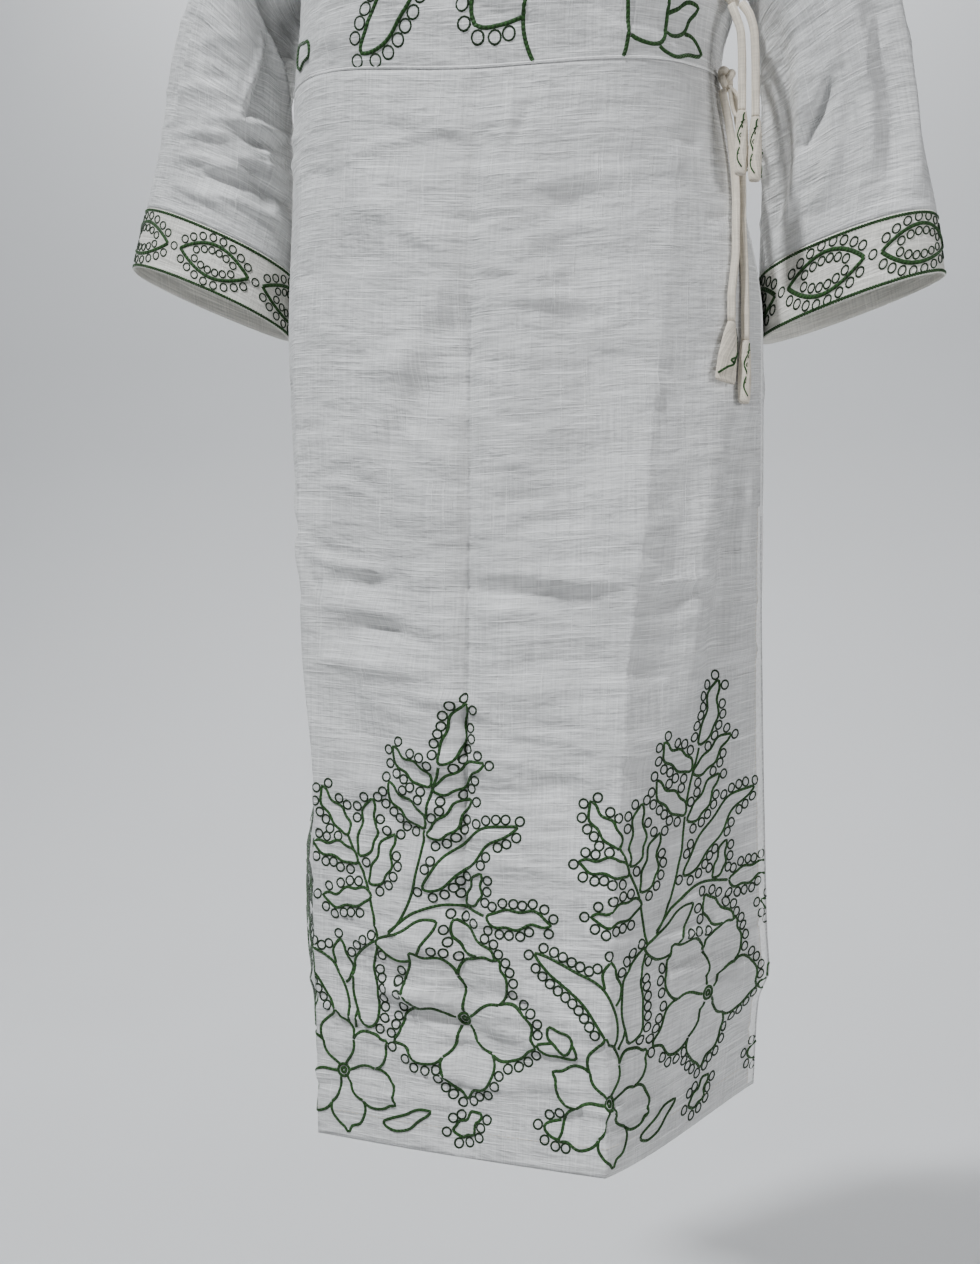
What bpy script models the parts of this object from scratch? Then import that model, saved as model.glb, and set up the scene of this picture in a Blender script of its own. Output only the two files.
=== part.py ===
"""Kurta tunic in slubby off-white cotton, as it hangs when it is worn.

Metres, +Z up, the front faces -Y and the wearer's left is at +X. The origin is halfway between the two
points where the neck opening meets the shoulder line, and the garment hangs down from there.
Each cut piece is an open surface, worked out from short tables of sizes, with the thickness of the cloth
given to it inwards. The folds are those of a pressed garment: one down the centre front and one to each
side of it, which leave a flat front face and two turned side faces below the hip.
"""
import math
from collections import namedtuple

import bmesh
import bpy
import numpy as np

# Cloth
WALL = 0.002
SEAM_GAP = 0.0003
EDGE_TRIM = SEAM_GAP / 2
EDGE_BAND = 0.003

# Heights of the body of the garment
CHEST_Z = -0.165
UNDERARM_Z = -0.198
SHOULDER_TIP_Z = -0.045
SHOULDER_TIP_X = 0.188

# Neck opening, a plain round one
NECK_HALF_WIDTH = 0.078
NECK_FRONT_DEPTH = 0.090
NECK_BACK_DEPTH = 0.022

# Roundness of the roll over the shoulder, flatter by the neck than by the armhole, the distances from the
# centre between which it changes, and how far the armhole runs in from the side seam
NECK_ROLL = 1.45
SHOULDER_ROLL = 2.2
ROLL_START_X = 0.050
ROLL_END_X = 0.165
ARMHOLE_INSET = 0.065

# Side slits, as a share of the skirt's drop, and how far their edges stand apart at the hem
SLIT_TOP_DROP = 0.43
SLIT_OPENING = 0.012

# Extra rows close to the waist seam and to the shoulder seam, so that the edges there stand square
SEAM_ROW_DROP = 0.004
SEAM_ROW_Z = -0.297
SHOULDER_EDGE = 0.0004
SHOULDER_SEAM_SHARE = 0.975
SHOULDER_STEP = 0.0014

# Numbers of faces across and down each piece
SKIRT_COLUMNS = 36
SKIRT_ROWS = 13
NECK_COLUMNS = 5
SHOULDER_COLUMNS = 5
SHOULDER_ROWS = 6
SLEEVE_COLUMNS = 24
SLEEVE_ROWS = 9
CUFF_ROWS = 2
SECTION_SAMPLES = 40

# Ties: round fabric strings that end in folded tabs
STRING_RADIUS = 0.0036
STRING_SPACING = 0.016
STRING_BEVEL = 2

# The posts of a level section, in order round the body from the left seam of the picture. A post is where
# the cloth is folded or seamed. seam and hem are the heights of the waist seam and of the hem there.
Post = namedtuple("Post", "name seam hem")
POSTS = (
    Post("right_side_seam", -0.2810, -1.1720),
    Post("right_front_fold", -0.2845, -1.1770),
    Post("centre_front", -0.3005, -1.1800),
    Post("left_front_fold", -0.2895, -1.1785),
    Post("left_side_seam", -0.2840, -1.1480),
    Post("left_back_fold", -0.2860, -1.1620),
    Post("centre_back", -0.2880, -1.1680),
    Post("right_back_fold", -0.2850, -1.1700),
)
RIGHT_SEAM, RIGHT_FOLD, CENTRE_FRONT, LEFT_FOLD, LEFT_SEAM, LEFT_BACK, CENTRE_BACK, RIGHT_BACK = range(8)

# Bodice sections: height, then x and y of each post in the order of POSTS
BodiceLevel = namedtuple("BodiceLevel", "z rs rf cf lf ls lb cb rb")
BODICE_LEVELS = (
    BodiceLevel(-0.300, (-0.194, 0.000), (-0.165, -0.068), (-0.002, -0.115), (0.163, -0.052),
                (0.181, 0.005), (0.140, 0.088), (0.000, 0.112), (-0.145, 0.088)),
    BodiceLevel(-0.270, (-0.191, 0.000), (-0.160, -0.076), (-0.001, -0.120), (0.158, -0.062),
                (0.184, 0.004), (0.142, 0.086), (0.000, 0.108), (-0.146, 0.086)),
    BodiceLevel(-0.225, (-0.187, 0.000), (-0.150, -0.084), (0.000, -0.127), (0.154, -0.076),
                (0.194, 0.000), (0.148, 0.085), (0.000, 0.106), (-0.146, 0.085)),
    BodiceLevel(-0.165, (-0.186, 0.000), (-0.148, -0.086), (0.000, -0.126), (0.150, -0.084),
                (0.192, 0.000), (0.148, 0.088), (0.000, 0.110), (-0.146, 0.088)),
)

# Skirt sections: drop is the share of the way from the waist seam to the hem, sharp is how sharply the
# cloth turns at the two front folds, crease the same for the folds of the centre and the back, and slit
# the same for the two side edges, which are cut free of each other in the lower half
SkirtLevel = namedtuple("SkirtLevel", "drop sharp crease slit rs rf cf lf ls lb cb rb")
SKIRT_LEVELS = (
    SkirtLevel(0.000, 0.00, 0.00, 0.0, (-0.194, 0.000), (-0.165, -0.068), (-0.002, -0.115),
               (0.163, -0.052), (0.181, 0.005), (0.140, 0.088), (0.000, 0.112), (-0.145, 0.088)),
    SkirtLevel(0.100, 0.25, 0.15, 0.0, (-0.198, 0.006), (-0.168, -0.066), (-0.007, -0.119),
               (0.152, -0.066), (0.197, 0.006), (0.150, 0.104), (0.002, 0.134), (-0.150, 0.104)),
    SkirtLevel(0.240, 0.55, 0.30, 0.0, (-0.203, 0.018), (-0.173, -0.072), (-0.0125, -0.120),
               (0.142, -0.080), (0.2165, 0.008), (0.158, 0.126), (0.004, 0.156), (-0.152, 0.128)),
    SkirtLevel(0.350, 0.80, 0.40, 0.0, (-0.200, 0.026), (-0.170, -0.076), (-0.0135, -0.120),
               (0.133, -0.091), (0.2163, 0.007), (0.157, 0.140), (0.006, 0.166), (-0.147, 0.142)),
    SkirtLevel(0.440, 0.95, 0.45, 0.0, (-0.195, 0.032), (-0.1670, -0.079), (-0.0145, -0.118),
               (0.126, -0.100), (0.2160, 0.008), (0.156, 0.150), (0.008, 0.172), (-0.142, 0.150)),
    SkirtLevel(0.540, 1.00, 0.50, 0.6, (-0.193, 0.034), (-0.1640, -0.080), (-0.0165, -0.116),
               (0.118, -0.106), (0.2168, 0.010), (0.154, 0.160), (0.010, 0.179), (-0.136, 0.164)),
    SkirtLevel(0.680, 1.00, 0.50, 1.0, (-0.188, 0.036), (-0.1535, -0.080), (-0.0190, -0.112),
               (0.110, -0.112), (0.2182, 0.015), (0.152, 0.172), (0.012, 0.188), (-0.127, 0.180)),
    SkirtLevel(0.760, 1.00, 0.50, 1.0, (-0.197, 0.032), (-0.1530, -0.080), (-0.0195, -0.109),
               (0.105, -0.115), (0.2195, 0.018), (0.151, 0.178), (0.014, 0.192), (-0.121, 0.190)),
    SkirtLevel(0.840, 1.00, 0.50, 1.0, (-0.198, 0.036), (-0.1520, -0.079), (-0.0200, -0.106),
               (0.103, -0.119), (0.2210, 0.020), (0.150, 0.184), (0.016, 0.197), (-0.114, 0.198)),
    SkirtLevel(0.878, 1.00, 0.50, 1.0, (-0.194, 0.038), (-0.1515, -0.079), (-0.0200, -0.105),
               (0.102, -0.121), (0.2228, 0.022), (0.150, 0.186), (0.018, 0.199), (-0.111, 0.202)),
    SkirtLevel(0.912, 1.00, 0.50, 1.0, (-0.186, 0.040), (-0.1510, -0.078), (-0.0202, -0.104),
               (0.102, -0.122), (0.2135, 0.028), (0.150, 0.188), (0.020, 0.201), (-0.109, 0.206)),
    SkirtLevel(1.000, 1.00, 0.50, 1.0, (-0.180, 0.044), (-0.1500, -0.078), (-0.0205, -0.101),
               (0.101, -0.127), (0.2085, 0.040), (0.150, 0.192), (0.025, 0.206), (-0.104, 0.214)),
)
FOLD_DROPS = (0.76, 0.878, 0.912)

# Armhole: how far out its edge lies, at heights above the chest line
ArmholeRow = namedtuple("ArmholeRow", "z x")
ARMHOLE = (
    ArmholeRow(-0.165, 0.1690),
    ArmholeRow(-0.130, 0.1635),
    ArmholeRow(-0.095, 0.1655),
    ArmholeRow(-0.065, 0.1760),
    ArmholeRow(-0.045, 0.1880),
)

# Sleeve rings below the armhole: along is the share of the sleeve's length, then the outer and the inner
# end of the oval, half of its depth from front to back, and how far its front and back stand above it
Ring = namedtuple("Ring", "along outer inner half_depth front_lift back_lift")
RIGHT_SLEEVE = (
    Ring(0.16, (-0.2400, 0.004, -0.0840), (-0.2045, 0.004, -0.214), 0.078, 0.000, 0.000),
    Ring(0.38, (-0.2865, 0.010, -0.1740), (-0.2065, 0.006, -0.252), 0.064, 0.000, 0.000),
    Ring(0.60, (-0.3115, 0.014, -0.2350), (-0.2060, 0.008, -0.302), 0.056, 0.002, 0.000),
    Ring(0.82, (-0.3295, 0.018, -0.3130), (-0.2045, 0.010, -0.366), 0.049, 0.005, -0.002),
    Ring(1.00, (-0.3445, 0.018, -0.3690), (-0.2050, 0.011, -0.431), 0.045, 0.009, -0.004),
    Ring(1.20, (-0.3585, 0.018, -0.4235), (-0.2080, 0.012, -0.488), 0.046, 0.010, -0.005),
)
LEFT_SLEEVE = (
    Ring(0.16, (0.2560, 0.006, -0.082), (0.2050, 0.012, -0.214), 0.078, 0.000, 0.000),
    Ring(0.38, (0.3200, 0.014, -0.178), (0.2130, 0.022, -0.256), 0.064, 0.000, 0.000),
    Ring(0.60, (0.3375, 0.018, -0.248), (0.2170, 0.034, -0.314), 0.056, 0.002, 0.000),
    Ring(0.82, (0.3490, 0.020, -0.338), (0.2160, 0.048, -0.386), 0.049, 0.004, 0.000),
    Ring(1.00, (0.3610, 0.020, -0.403), (0.2140, 0.057, -0.447), 0.045, 0.007, 0.000),
    Ring(1.20, (0.3675, 0.020, -0.454), (0.2150, 0.060, -0.501), 0.046, 0.0015, 0.001),
)
OVAL_POWER = 2.2
SLEEVE_LENGTH = 0.34

# Tie knots, balls of wound string that lie on the seam side of the front
Knot = namedtuple("Knot", "name centre size")
KNOTS = (
    Knot("waist_knot", (0.1883, -0.0140, -0.2884), (0.0085, 0.0085, 0.0115)),
    Knot("upper_knot", (0.1942, -0.0322, -0.2260), (0.0095, 0.0085, 0.0105)),
)

# Free strings, from the knot down to the tab, as points that each route passes
STRINGS = {
    "waist_string_front": (
        (0.1850, -0.0190, -0.2998), (0.1868, -0.0192, -0.3100), (0.1906, -0.0180, -0.3290),
        (0.1938, -0.0178, -0.3540), (0.1963, -0.0202, -0.3840), (0.1968, -0.0264, -0.4110),
        (0.1968, -0.0314, -0.4370), (0.1950, -0.0370, -0.4620), (0.1938, -0.0404, -0.4780),
        (0.1938, -0.0406, -0.4980),
    ),
    "waist_string_rear": (
        (0.1935, -0.0105, -0.2998), (0.1962, -0.0090, -0.3120), (0.1995, -0.0070, -0.3430),
        (0.2010, -0.0082, -0.3800), (0.2014, -0.0178, -0.4100), (0.2032, -0.0225, -0.4440),
        (0.2042, -0.0262, -0.4720), (0.2045, -0.0290, -0.4920), (0.2045, -0.0292, -0.5120),
    ),
    "upper_string_front": (
        (0.1937, -0.0382, -0.2366), (0.1980, -0.0420, -0.2490), (0.2018, -0.0440, -0.2640),
        (0.2026, -0.0440, -0.2900), (0.2024, -0.0440, -0.3260),
    ),
    "upper_string_rear": (
        (0.2022, -0.0360, -0.2354), (0.2085, -0.0415, -0.2470), (0.2125, -0.0440, -0.2640),
        (0.2135, -0.0440, -0.2950), (0.2135, -0.0440, -0.3320),
    ),
}

# Tabs of folded cloth at the string ends: drop below the string, half width, half thickness
TabRow = namedtuple("TabRow", "drop half_width half_depth")
FLAT_TAB = (
    TabRow(0.000, 0.0042, 0.0034),
    TabRow(0.012, 0.0072, 0.0036),
    TabRow(0.030, 0.0100, 0.0038),
    TabRow(0.050, 0.0108, 0.0032),
)
ROLLED_TAB = (
    TabRow(0.000, 0.0040, 0.0036),
    TabRow(0.014, 0.0052, 0.0046),
    TabRow(0.034, 0.0058, 0.0050),
    TabRow(0.052, 0.0050, 0.0042),
)
TAB_SIDES = 10
TAB_GAP = 0.0005

# Each tab hangs from a string's end: turn is the angle of its width from the X axis, in degrees, and lean
# how far its lower end stands off to the side and back
Tab = namedtuple("Tab", "name string rows turn lean")
TABS = (
    Tab("waist_tab_front", "waist_string_front", FLAT_TAB, 44, (-0.0048, -0.0082)),
    Tab("waist_tab_rear", "waist_string_rear", ROLLED_TAB, 40, (-0.0008, -0.0040)),
    Tab("upper_tab_front", "upper_string_front", ROLLED_TAB, 10, (-0.0012, 0.0000)),
    Tab("upper_tab_rear", "upper_string_rear", ROLLED_TAB, 0, (-0.0010, 0.0000)),
)

CLOTH_WHITE = (0.80, 0.78, 0.72, 1.0)
CUFF_CREAM = (0.80, 0.75, 0.64, 1.0)
TIE_CREAM = (0.78, 0.73, 0.62, 1.0)


def smooth_through(positions, values, at):
    """Value at a place, on a curve through the rows that never swings past them."""
    positions = np.asarray(positions, float)
    values = np.asarray(values, float)
    flat = values.reshape(len(positions), -1)
    step = np.diff(positions)[:, None]
    slope = np.diff(flat, axis=0) / step
    tangent = np.zeros_like(flat)
    same_way = slope[:-1] * slope[1:] > 0
    weight_a = 2 * step[1:] + step[:-1]
    weight_b = step[1:] + 2 * step[:-1]
    safe_a = np.where(same_way, slope[:-1], 1.0)
    safe_b = np.where(same_way, slope[1:], 1.0)
    tangent[1:-1] = np.where(same_way, (weight_a + weight_b) / (weight_a / safe_a + weight_b / safe_b), 0)
    tangent[0] = slope[0]
    tangent[-1] = slope[-1]
    place = float(np.clip(at, positions[0], positions[-1]))
    row = int(np.clip(np.searchsorted(positions, place) - 1, 0, len(positions) - 2))
    h = positions[row + 1] - positions[row]
    t = (place - positions[row]) / h
    result = ((1 + 2 * t) * (1 - t) ** 2 * flat[row] + t * (1 - t) ** 2 * h * tangent[row]
              + t * t * (3 - 2 * t) * flat[row + 1] + t * t * (t - 1) * h * tangent[row + 1])
    return result.reshape(values.shape[1:])


def ring_of_posts(corners, sharpness):
    """Closed curve through the posts, as points at even steps between each two of them."""
    corners = np.asarray(corners, float)
    chord = np.roll(corners, -1, axis=0) - corners
    length = np.linalg.norm(chord, axis=1)[:, None]
    ahead = chord / length
    behind = np.roll(ahead, 1, axis=0)
    round_way = behind * length + ahead * np.roll(length, 1, axis=0)
    round_way /= np.linalg.norm(round_way, axis=1)[:, None]
    sharp = np.asarray(sharpness, float)[:, None]
    leave = (1 - sharp) * round_way + sharp * ahead
    arrive = (1 - sharp) * round_way + sharp * behind
    leave /= np.linalg.norm(leave, axis=1)[:, None]
    arrive /= np.linalg.norm(arrive, axis=1)[:, None]
    spans = []
    t = np.linspace(0, 1, SECTION_SAMPLES + 1)[:, None]
    for i in range(len(corners)):
        j = (i + 1) % len(corners)
        curve = ((1 + 2 * t) * (1 - t) ** 2 * corners[i] + t * (1 - t) ** 2 * length[i] * leave[i]
                 + t * t * (3 - 2 * t) * corners[j] + t * t * (t - 1) * length[i] * arrive[j])
        spans.append(even_steps(curve, SECTION_SAMPLES))
    return spans


def even_steps(curve, count):
    """The same curve as count + 1 points at equal distances along it."""
    walked = np.concatenate([[0], np.cumsum(np.linalg.norm(np.diff(curve, axis=0), axis=1))])
    stops = np.linspace(0, walked[-1], count + 1)
    return np.stack([np.interp(stops, walked, curve[:, k]) for k in range(curve.shape[1])], axis=1)


def panel_line(spans, first, count):
    """Points along the posts from first on, each with its place among the posts in a third column."""
    rows = []
    for k in range(count):
        span = spans[(first + k) % len(spans)]
        place = np.linspace(k, k + 1, SECTION_SAMPLES + 1)[:, None]
        rows.append(np.hstack([span, place])[(1 if k else 0):])
    return np.vstack(rows)


def cut_line(line, start_trim, end_trim, shares):
    """Points at the given shares of a line's length, once its two ends are trimmed."""
    walked = np.concatenate([[0], np.cumsum(np.linalg.norm(np.diff(line[:, :2], axis=0), axis=1))])
    stops = start_trim + (walked[-1] - start_trim - end_trim) * np.asarray(shares)
    return np.stack([np.interp(stops, walked, line[:, k]) for k in range(line.shape[1])], axis=1)


def edge_heights(places, first, part):
    """Heights of the waist seam or the hem at places among the five posts from first on."""
    heights = [getattr(POSTS[(first + k) % len(POSTS)], part) for k in range(5)]
    return np.array([smooth_through(range(5), heights, place) for place in places], float)


def skirt_section(drop):
    """The closed section of the skirt at a drop below the waist seam."""
    drops = [level.drop for level in SKIRT_LEVELS]
    corners = smooth_through(drops, [level[4:] for level in SKIRT_LEVELS], drop)
    sharp, crease, slit = smooth_through(drops, [level[1:4] for level in SKIRT_LEVELS], drop)
    turn = [slit, sharp, crease, sharp, slit, crease, crease, crease]
    return ring_of_posts(corners, turn)


def bodice_section(z):
    """The closed section of the bodice at a height."""
    heights = [level.z for level in BODICE_LEVELS]
    corners = smooth_through(heights, [level[1:] for level in BODICE_LEVELS], z)
    return ring_of_posts(corners, [0] * len(POSTS))


def skirt_shares(line):
    """Shares of a skirt panel's width for its columns, with a column on each fold."""
    walked = np.concatenate([[0], np.cumsum(np.linalg.norm(np.diff(line[:, :2], axis=0), axis=1))])
    shares = []
    quarter = SKIRT_COLUMNS // 4
    for k in range(4):
        start = walked[k * SECTION_SAMPLES] / walked[-1]
        end = walked[(k + 1) * SECTION_SAMPLES] / walked[-1]
        shares.extend(np.linspace(start, end, quarter, endpoint=False))
    band = EDGE_BAND / walked[-1]
    return [0.0, band] + shares[1:] + [1 - band, 1.0]


def slit_gap(drop):
    """How far a panel's edge stands back from the side seam line at a drop."""
    below = max(0.0, drop - SLIT_TOP_DROP) / (1 - SLIT_TOP_DROP)
    return EDGE_TRIM + SLIT_OPENING * below


def skirt_panel(first, slit_edge):
    """Rows of points of a skirt panel, from the waist seam down to the hem."""
    drops = sorted(set(np.round(np.linspace(0, 1, SKIRT_ROWS), 4)) | {SEAM_ROW_DROP, *FOLD_DROPS})
    rows = []
    for drop in drops:
        line = panel_line(skirt_section(drop), first, 4)
        trim = slit_gap(drop) if slit_edge else EDGE_TRIM
        points = cut_line(line, trim, trim, skirt_shares(line))
        seam = edge_heights(points[:, 2], first, "seam") - SEAM_GAP
        hem = edge_heights(points[:, 2], first, "hem")
        rows.append(np.column_stack([points[:, :2], seam + (hem - seam) * drop]))
    return rows


def shoulder_height(x):
    """Height of the shoulder line at a distance from the centre."""
    beyond = (abs(x) - NECK_HALF_WIDTH) / (SHOULDER_TIP_X - NECK_HALF_WIDTH)
    return SHOULDER_TIP_Z * max(0.0, beyond)


def neck_height(x, depth):
    """Height of the neck opening's edge at a distance from the centre."""
    return -depth * math.sqrt(max(0.0, 1 - (x / NECK_HALF_WIDTH) ** 2))


def bodice_shares():
    """Places of the bodice's columns from -1 to 1, at even steps round the neck and along the shoulder."""
    neck = NECK_HALF_WIDTH / SHOULDER_TIP_X
    inner = neck * np.sin(np.linspace(0, math.pi / 2, NECK_COLUMNS, endpoint=False))
    outer = np.linspace(neck, 1, SHOULDER_COLUMNS + 1)
    half = np.concatenate([inner, outer[:-1], [0.985, 1.0]])
    return np.concatenate([-half[:0:-1], half])


def bodice_panel(first, neck_depth):
    """Rows of points of a bodice panel, from the waist seam up to the shoulder."""
    across = (bodice_shares() + 1) / 2
    levels = [-0.300, SEAM_ROW_Z, -0.275, -0.245, -0.220, UNDERARM_Z, -0.195, -0.188, -0.177, CHEST_Z]
    rows = []
    for z in levels:
        line = panel_line(bodice_section(z), first, 4)
        rise = max(0.0, z - UNDERARM_Z) / (CHEST_Z - UNDERARM_Z)
        inset = ARMHOLE_INSET * math.sqrt(1 - (1 - rise) ** 2)
        points = cut_line(line, EDGE_TRIM + inset, EDGE_TRIM + inset, across)
        seam = edge_heights(points[:, 2], first, "seam")
        share = (z - levels[0]) / (UNDERARM_Z - levels[0])
        heights = seam + (UNDERARM_Z - seam) * share if share < 1 else np.full(len(points), z)
        rows.append(np.column_stack([points[:, :2], heights]))
    chest = rows[-1]
    shares = [k / SHOULDER_ROWS for k in range(1, SHOULDER_ROWS)] + [SHOULDER_SEAM_SHARE, 1.0]
    for share in shares:
        rows.append(shoulder_row(chest, share, neck_depth))
    return rows


def roll_power(x):
    """How round the cloth rolls back to the shoulder line at a distance from the centre."""
    share = np.clip((abs(x) - ROLL_START_X) / (ROLL_END_X - ROLL_START_X), 0, 1)
    return NECK_ROLL + (SHOULDER_ROLL - NECK_ROLL) * share * share * (3 - 2 * share)


def shoulder_row(chest, share, neck_depth):
    """A row of the bodice above the chest line, which reaches the shoulder or the neck edge at share 1."""
    edge = max(abs(chest[0, 0]), abs(chest[-1, 0]))
    row = []
    for x, y, z in chest:
        side = x / edge
        x_top = side * SHOULDER_TIP_X
        power = roll_power(x_top)
        top = shoulder_height(x_top)
        stop = math.pi / 2
        rise = min(share, SHOULDER_SEAM_SHARE)
        if abs(x_top) < NECK_HALF_WIDTH * 0.999:
            reach = (neck_height(x_top, neck_depth) - CHEST_Z) / (0 - CHEST_Z)
            stop = math.asin(min(1.0, reach ** (power / 2)))
            rise = share
        angle = share * stop
        height = CHEST_Z + (top - CHEST_Z) * math.sin(rise * stop) ** (2 / power)
        depth = math.copysign(max(abs(y) * max(math.cos(angle), 0.0) ** (2 / power), SHOULDER_EDGE), y)
        straight = edge + (SHOULDER_TIP_X - edge) * share
        armhole = smooth_through([r.z for r in ARMHOLE], [r.x for r in ARMHOLE], height)
        edge_here = straight + (armhole - straight) * side * side
        row.append((side * float(edge_here), depth, height))
    return np.array(row)


def armhole_loop(front_rows, back_rows, side):
    """Edge of the armhole as a closed loop from the shoulder tip, down the front and up the back."""
    column = 0 if side < 0 else -1
    edge_f = [row[column] for row in front_rows if row[column][2] > UNDERARM_Z - 0.0005]
    column_b = -1 if side < 0 else 0
    edge_b = [row[column_b] for row in back_rows if row[column_b][2] > UNDERARM_Z - 0.0005]
    under = (edge_f[0] + edge_b[0]) / 2
    tip = (edge_f[-1] + edge_b[-1]) / 2
    down = np.array([tip] + edge_f[-2:0:-1] + [under])
    up = np.array([under] + edge_b[1:-1] + [tip])
    half = SLEEVE_COLUMNS // 2
    loop = np.vstack([even_steps(down, half), even_steps(up, half)[1:]])
    height = (loop[:, 2] - UNDERARM_Z) / (SHOULDER_TIP_Z - UNDERARM_Z)
    loop[:, 0] += side * (SEAM_GAP * 2 + SHOULDER_STEP * height)
    return loop


def oval(ring):
    """Points of a sleeve ring from its outer end, over the front to the inner end and back behind."""
    outer = np.array(ring.outer)
    inner = np.array(ring.inner)
    middle = (outer + inner) / 2
    half_width = (outer - inner) / 2
    out = half_width / np.linalg.norm(half_width)
    forward = np.array([0.0, -1.0, 0.0])
    forward -= out * forward.dot(out)
    forward /= np.linalg.norm(forward)
    points = []
    for k in range(SLEEVE_COLUMNS * 8 + 1):
        angle = 2 * math.pi * k / (SLEEVE_COLUMNS * 8)
        c = math.copysign(abs(math.cos(angle)) ** (2 / OVAL_POWER), math.cos(angle))
        s = math.copysign(abs(math.sin(angle)) ** (2 / OVAL_POWER), math.sin(angle))
        lift = ring.front_lift * s if s > 0 else -ring.back_lift * s
        points.append(middle + half_width * c + forward * ring.half_depth * s + np.array([0, 0, lift]))
    return even_steps(np.array(points), SLEEVE_COLUMNS)


def sleeve_rows(loop, rings, start, end, count):
    """Rings of points between two shares of a sleeve's length."""
    places = [0.0] + [ring.along for ring in rings]
    shapes = [loop] + [oval(ring) for ring in rings]
    stops = np.linspace(start, end, count + 1)
    band = EDGE_BAND / SLEEVE_LENGTH
    stops = np.concatenate([[stops[0], stops[0] + band], stops[1:-1], [stops[-1] - band, stops[-1]]])
    return [smooth_through(places, shapes, at) for at in stops]


def new_object(name, mesh, color, collection):
    """An object in the collection with its own plain cloth material."""
    obj = bpy.data.objects.new(name, mesh)
    collection.objects.link(obj)
    material = bpy.data.materials.new(name)
    material.use_nodes = True
    shader = material.node_tree.nodes["Principled BSDF"]
    shader.inputs["Base Color"].default_value = color
    shader.inputs["Roughness"].default_value = 0.9
    shader.inputs["Metallic"].default_value = 0.0
    obj.data.materials.append(material)
    return obj


def cloth_piece(name, rows, color, collection, round_piece=False):
    """A grid laid over the rows of points, closed round on itself if asked, with the cloth's wall."""
    down = len(rows) - 1
    across = len(rows[0]) - 1
    bm = bmesh.new()
    bmesh.ops.create_grid(bm, x_segments=across, y_segments=down, size=0.5)
    for vert in bm.verts:
        column = round((vert.co.x + 0.5) * across)
        row = round((vert.co.y + 0.5) * down)
        vert.co = rows[row][column]
    if round_piece:
        bmesh.ops.remove_doubles(bm, verts=bm.verts, dist=1e-6)
    mesh = bpy.data.meshes.new(name)
    bm.to_mesh(mesh)
    bm.free()
    mesh.shade_smooth()
    obj = new_object(name, mesh, color, collection)
    wall = obj.modifiers.new("cloth", "SOLIDIFY")
    wall.thickness = WALL
    wall.offset = -1.0
    wall.use_even_offset = True
    wall.use_rim = True
    return obj


def string_piece(name, route, collection):
    """A round string along a smooth curve through its route."""
    route = np.asarray(route, float)
    walked = np.concatenate([[0], np.cumsum(np.linalg.norm(np.diff(route, axis=0), axis=1))])
    count = max(4, round(walked[-1] / STRING_SPACING))
    spline_points = [smooth_through(walked, route, at) for at in np.linspace(0, walked[-1], count + 1)]
    curve = bpy.data.curves.new(name, "CURVE")
    curve.dimensions = "3D"
    curve.bevel_depth = STRING_RADIUS
    curve.bevel_resolution = STRING_BEVEL
    curve.use_fill_caps = True
    spline = curve.splines.new("POLY")
    spline.points.add(len(spline_points) - 1)
    for point, place in zip(spline.points, spline_points):
        point.co = (*place, 1.0)
    return new_object(name, curve, TIE_CREAM, collection)


def tab_piece(tab, collection):
    """A folded tab hanging from a string's end, closed at its top and bottom."""
    x, y, z = STRINGS[tab.string][-1]
    rows = tab.rows
    cos_turn = math.cos(math.radians(tab.turn))
    sin_turn = math.sin(math.radians(tab.turn))
    bm = bmesh.new()
    bmesh.ops.create_cone(bm, cap_ends=True, segments=TAB_SIDES, radius1=1.0, radius2=1.0, depth=1.0)
    sides = [edge for edge in bm.edges if abs(edge.verts[0].co.z - edge.verts[1].co.z) > 0.5]
    bmesh.ops.subdivide_edges(bm, edges=sides, cuts=len(rows) - 2)
    for vert in bm.verts:
        row = rows[round((0.5 - vert.co.z) * (len(rows) - 1))]
        across = vert.co.x * row.half_width
        deep = vert.co.y * row.half_depth
        share = row.drop / rows[-1].drop
        vert.co = (x + across * cos_turn - deep * sin_turn + tab.lean[0] * share,
                   y + across * sin_turn + deep * cos_turn + tab.lean[1] * share,
                   z - TAB_GAP - row.drop)
    mesh = bpy.data.meshes.new(tab.name)
    bm.to_mesh(mesh)
    bm.free()
    mesh.shade_smooth()
    return new_object(tab.name, mesh, TIE_CREAM, collection)


def knot_piece(knot, collection):
    """A knot as a ball a little longer than it is wide."""
    bm = bmesh.new()
    bmesh.ops.create_uvsphere(bm, u_segments=14, v_segments=8, radius=1.0)
    bmesh.ops.scale(bm, vec=knot.size, verts=bm.verts)
    bmesh.ops.translate(bm, vec=knot.centre, verts=bm.verts)
    mesh = bpy.data.meshes.new(knot.name)
    bm.to_mesh(mesh)
    bm.free()
    mesh.shade_smooth()
    return new_object(knot.name, mesh, TIE_CREAM, collection)


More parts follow.
